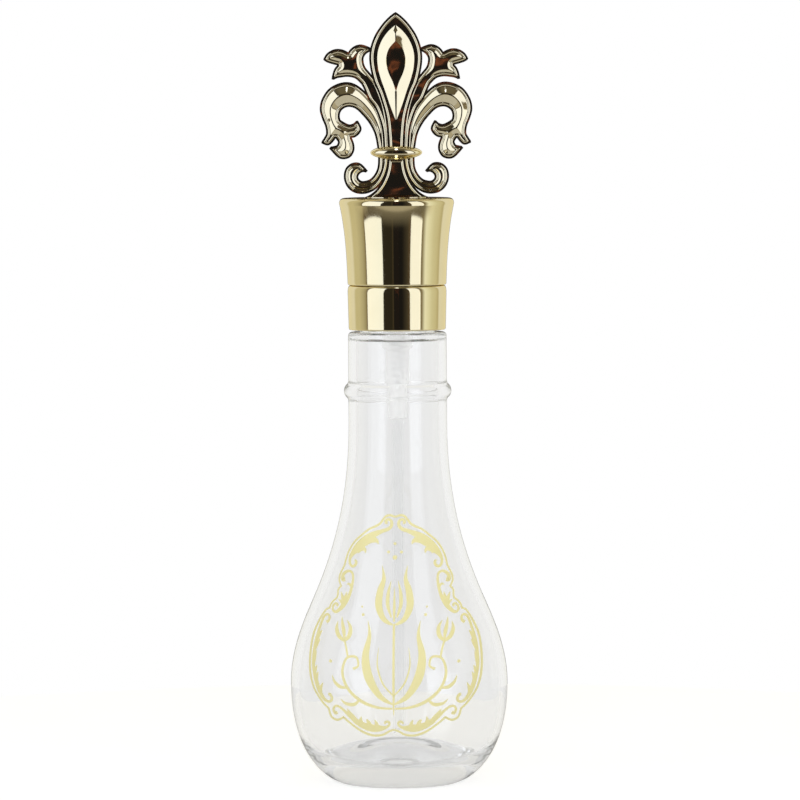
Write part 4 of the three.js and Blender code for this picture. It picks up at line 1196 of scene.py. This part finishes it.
def make_softbox(name, azimuth, distance, height, aim, size, radiance, colour=LAMP_COLOUR, roll=0,
                 mirrored=True):
    """A rectangular lamp aimed at a height on the axis; its power follows from the radiance that it shows."""
    lamp = bpy.data.lights.new(name, "AREA")
    lamp.shape = "RECTANGLE"
    lamp.size, lamp.size_y = size
    lamp.energy = radiance * math.pi * size[0] * size[1]
    lamp.color = colour
    turn = math.radians(azimuth)
    place = (math.sin(turn) * distance, -math.cos(turn) * distance, height)
    holder = set_up(name, lamp, place, (0, 0, aim), roll)
    holder.visible_camera = False
    holder.visible_glossy = mirrored
    holder.visible_transmission = mirrored


def make_lamps():
    make_softbox("left_softbox", azimuth=-51, distance=1.3, height=0.6, aim=0.6, size=(0.98, 1.7),
                 radiance=1.26, roll=-5)
    make_softbox("right_softbox", azimuth=41, distance=1.3, height=0.58, aim=0.58, size=(0.6, 1.7),
                 radiance=1.2, roll=6)
    make_softbox("top_strip", azimuth=0, distance=0.5, height=1.35, aim=0.2, size=(0.12, 0.5), radiance=3.5)
    make_softbox("front_fill", azimuth=0, distance=1.6, height=0.6, aim=0.12, size=(1, 1), radiance=4.5,
                 colour=FILL_COLOUR, mirrored=False)


def make_room():
    """White behind the object, gold-brown at its sides and a dark room behind the camera."""
    world = bpy.data.worlds.new("studio_room")
    bpy.context.scene.world = world
    world.use_nodes = True
    tree = world.node_tree
    tree.nodes.clear()
    direction = tree.nodes.new("ShaderNodeTexCoord").outputs["Generated"]
    split = add_node(tree, "ShaderNodeSeparateXYZ", Vector=direction).outputs
    azimuth = maths(tree, "ARCTAN2", split["X"], maths(tree, "MULTIPLY", split["Y"], -1))
    turn = number_range(tree, azimuth, 0, 1, -math.pi, math.pi)

    def around_room(stops):
        """Colours by azimuth in degrees: 0 is behind the camera, 90 on the right."""
        return colour_range(tree, turn, [((degrees + 180) / 360, colour) for degrees, colour in stops])

    def above(start, end):
        """0 below the first elevation in degrees and 1 above the second."""
        start, end = (math.sin(math.radians(degrees)) for degrees in (start, end))
        return number_range(tree, split["Z"], 0, 1, start, end)

    def mixed(factor, a, b, how="MIX"):
        mix = tree.nodes.new("ShaderNodeMix")
        mix.data_type = "RGBA"
        mix.blend_type = how
        return feed_all(mix, {"Factor": factor, "A": a, "B": b}).outputs["Result"]

    off, full = (0, 0, 0), (1, 1, 1)
    white, door = (0.83, 0.815, 0.715), (0.07, 0.055, 0.04)
    pale_tan, tan, deep_tan = (0.63, 0.585, 0.39), (0.50, 0.46, 0.305), (0.35, 0.31, 0.19)
    brown, shade = (0.10, 0.07, 0.04), (0.026, 0.022, 0.015)
    post, dark = (0.075, 0.058, 0.035), (0.012, 0.011, 0.011)
    dusk, edge, glow = (0.055, 0.045, 0.03), (0.23, 0.19, 0.115), (0.93, 0.94, 0.80)
    bright_gold, soft_gold = (0.84, 0.84, 0.65), (0.71, 0.69, 0.49)
    deep_gold, seam = (0.65, 0.61, 0.405), (0.53, 0.48, 0.30)
    walls = around_room([
        (-180, door), (-170, door), (-168, white), (-122, white), (-114, pale_tan), (-100, pale_tan),
        (-86, tan), (-78, deep_tan), (-74, brown), (-34, shade), (-11, shade), (-9, post), (-7, dark),
        (12, dark), (24, dusk), (29, brown), (52, brown), (56, edge), (60, edge), (69, glow),
        (79, bright_gold), (90, soft_gold), (104, deep_gold), (112, seam), (117, white), (168, white),
        (170, door), (180, door),
    ])
    front = around_room([(-180, off), (-80, off), (-62, full), (62, full), (80, off), (180, off)])
    straight_ahead = around_room([(-180, off), (-6, off), (-3, full), (3, full), (6, off), (180, off)])
    blotch = add_node(tree, "ShaderNodeTexNoise", Vector=direction, Scale=38, Detail=0).outputs["Fac"]
    patches = colour_range(tree, blotch, [
        (0, off), (0.655, off), (0.66, (0.19, 0.054, 0.02)), (1, (0.24, 0.068, 0.025)),
    ])
    low_patch, table_side = (0.003, 0.001, 0.0005, 1), (0.75, 0.68, 0.47, 1)
    counter_low, counter_high = (0.44, 0.40, 0.31, 1), (0.17, 0.15, 0.11, 1)
    ceiling_side, ceiling_front = (0.58, 0.51, 0.34, 1), (0.13, 0.112, 0.07, 1)
    patches = mixed(above(-3.4, -2.8), low_patch, patches)
    patches = mixed(1, patches, straight_ahead, "MULTIPLY")
    around = mixed(1, walls, patches, "ADD")
    counter = mixed(above(-23.4, -22.8), counter_low, counter_high)
    table = mixed(front, table_side, counter)
    around = mixed(above(-22, -17), table, around)
    ceiling = mixed(front, ceiling_side, ceiling_front)
    around = mixed(above(42, 50), around, ceiling)

    room = add_node(tree, "ShaderNodeBackground", Color=around)
    backdrop = add_node(tree, "ShaderNodeBackground", Color=(1, 1, 1, 1))
    path = tree.nodes.new("ShaderNodeLightPath").outputs
    through = number_range(tree, path["Is Transmission Ray"], 0, 0.97)
    choice = add_node(tree, "ShaderNodeMixShader", Fac=maths(tree, "MAXIMUM", path["Is Camera Ray"], through))
    feed(choice.inputs[1], room.outputs["Background"])
    feed(choice.inputs[2], backdrop.outputs["Background"])
    add_node(tree, "ShaderNodeOutputWorld", Surface=choice.outputs["Shader"])


def make_camera():
    camera = bpy.data.cameras.new("photo_camera")
    camera.sensor_width = 36
    camera.lens = CAMERA_LENS
    camera.clip_start = 0.05
    bpy.context.scene.camera = set_up("photo_camera", camera, CAMERA_PLACE, CAMERA_AIM, CAMERA_ROLL)


for make in (
    make_glass, make_closure, make_collar, make_gasket, make_housing, make_retainer, make_stem_seal,
    make_dip_tube, make_ball, make_spring, make_stem, make_piston, make_button, make_nozzle, make_cap,
    make_liner, make_finial, make_print, make_floor, make_lamps, make_room, make_camera,
):
    make()
bpy.context.scene.view_settings.view_transform = "Standard"
bpy.context.scene.cycles.max_bounces = 160
bpy.context.scene.cycles.glossy_bounces = 150
bpy.context.scene.cycles.transmission_bounces = 150
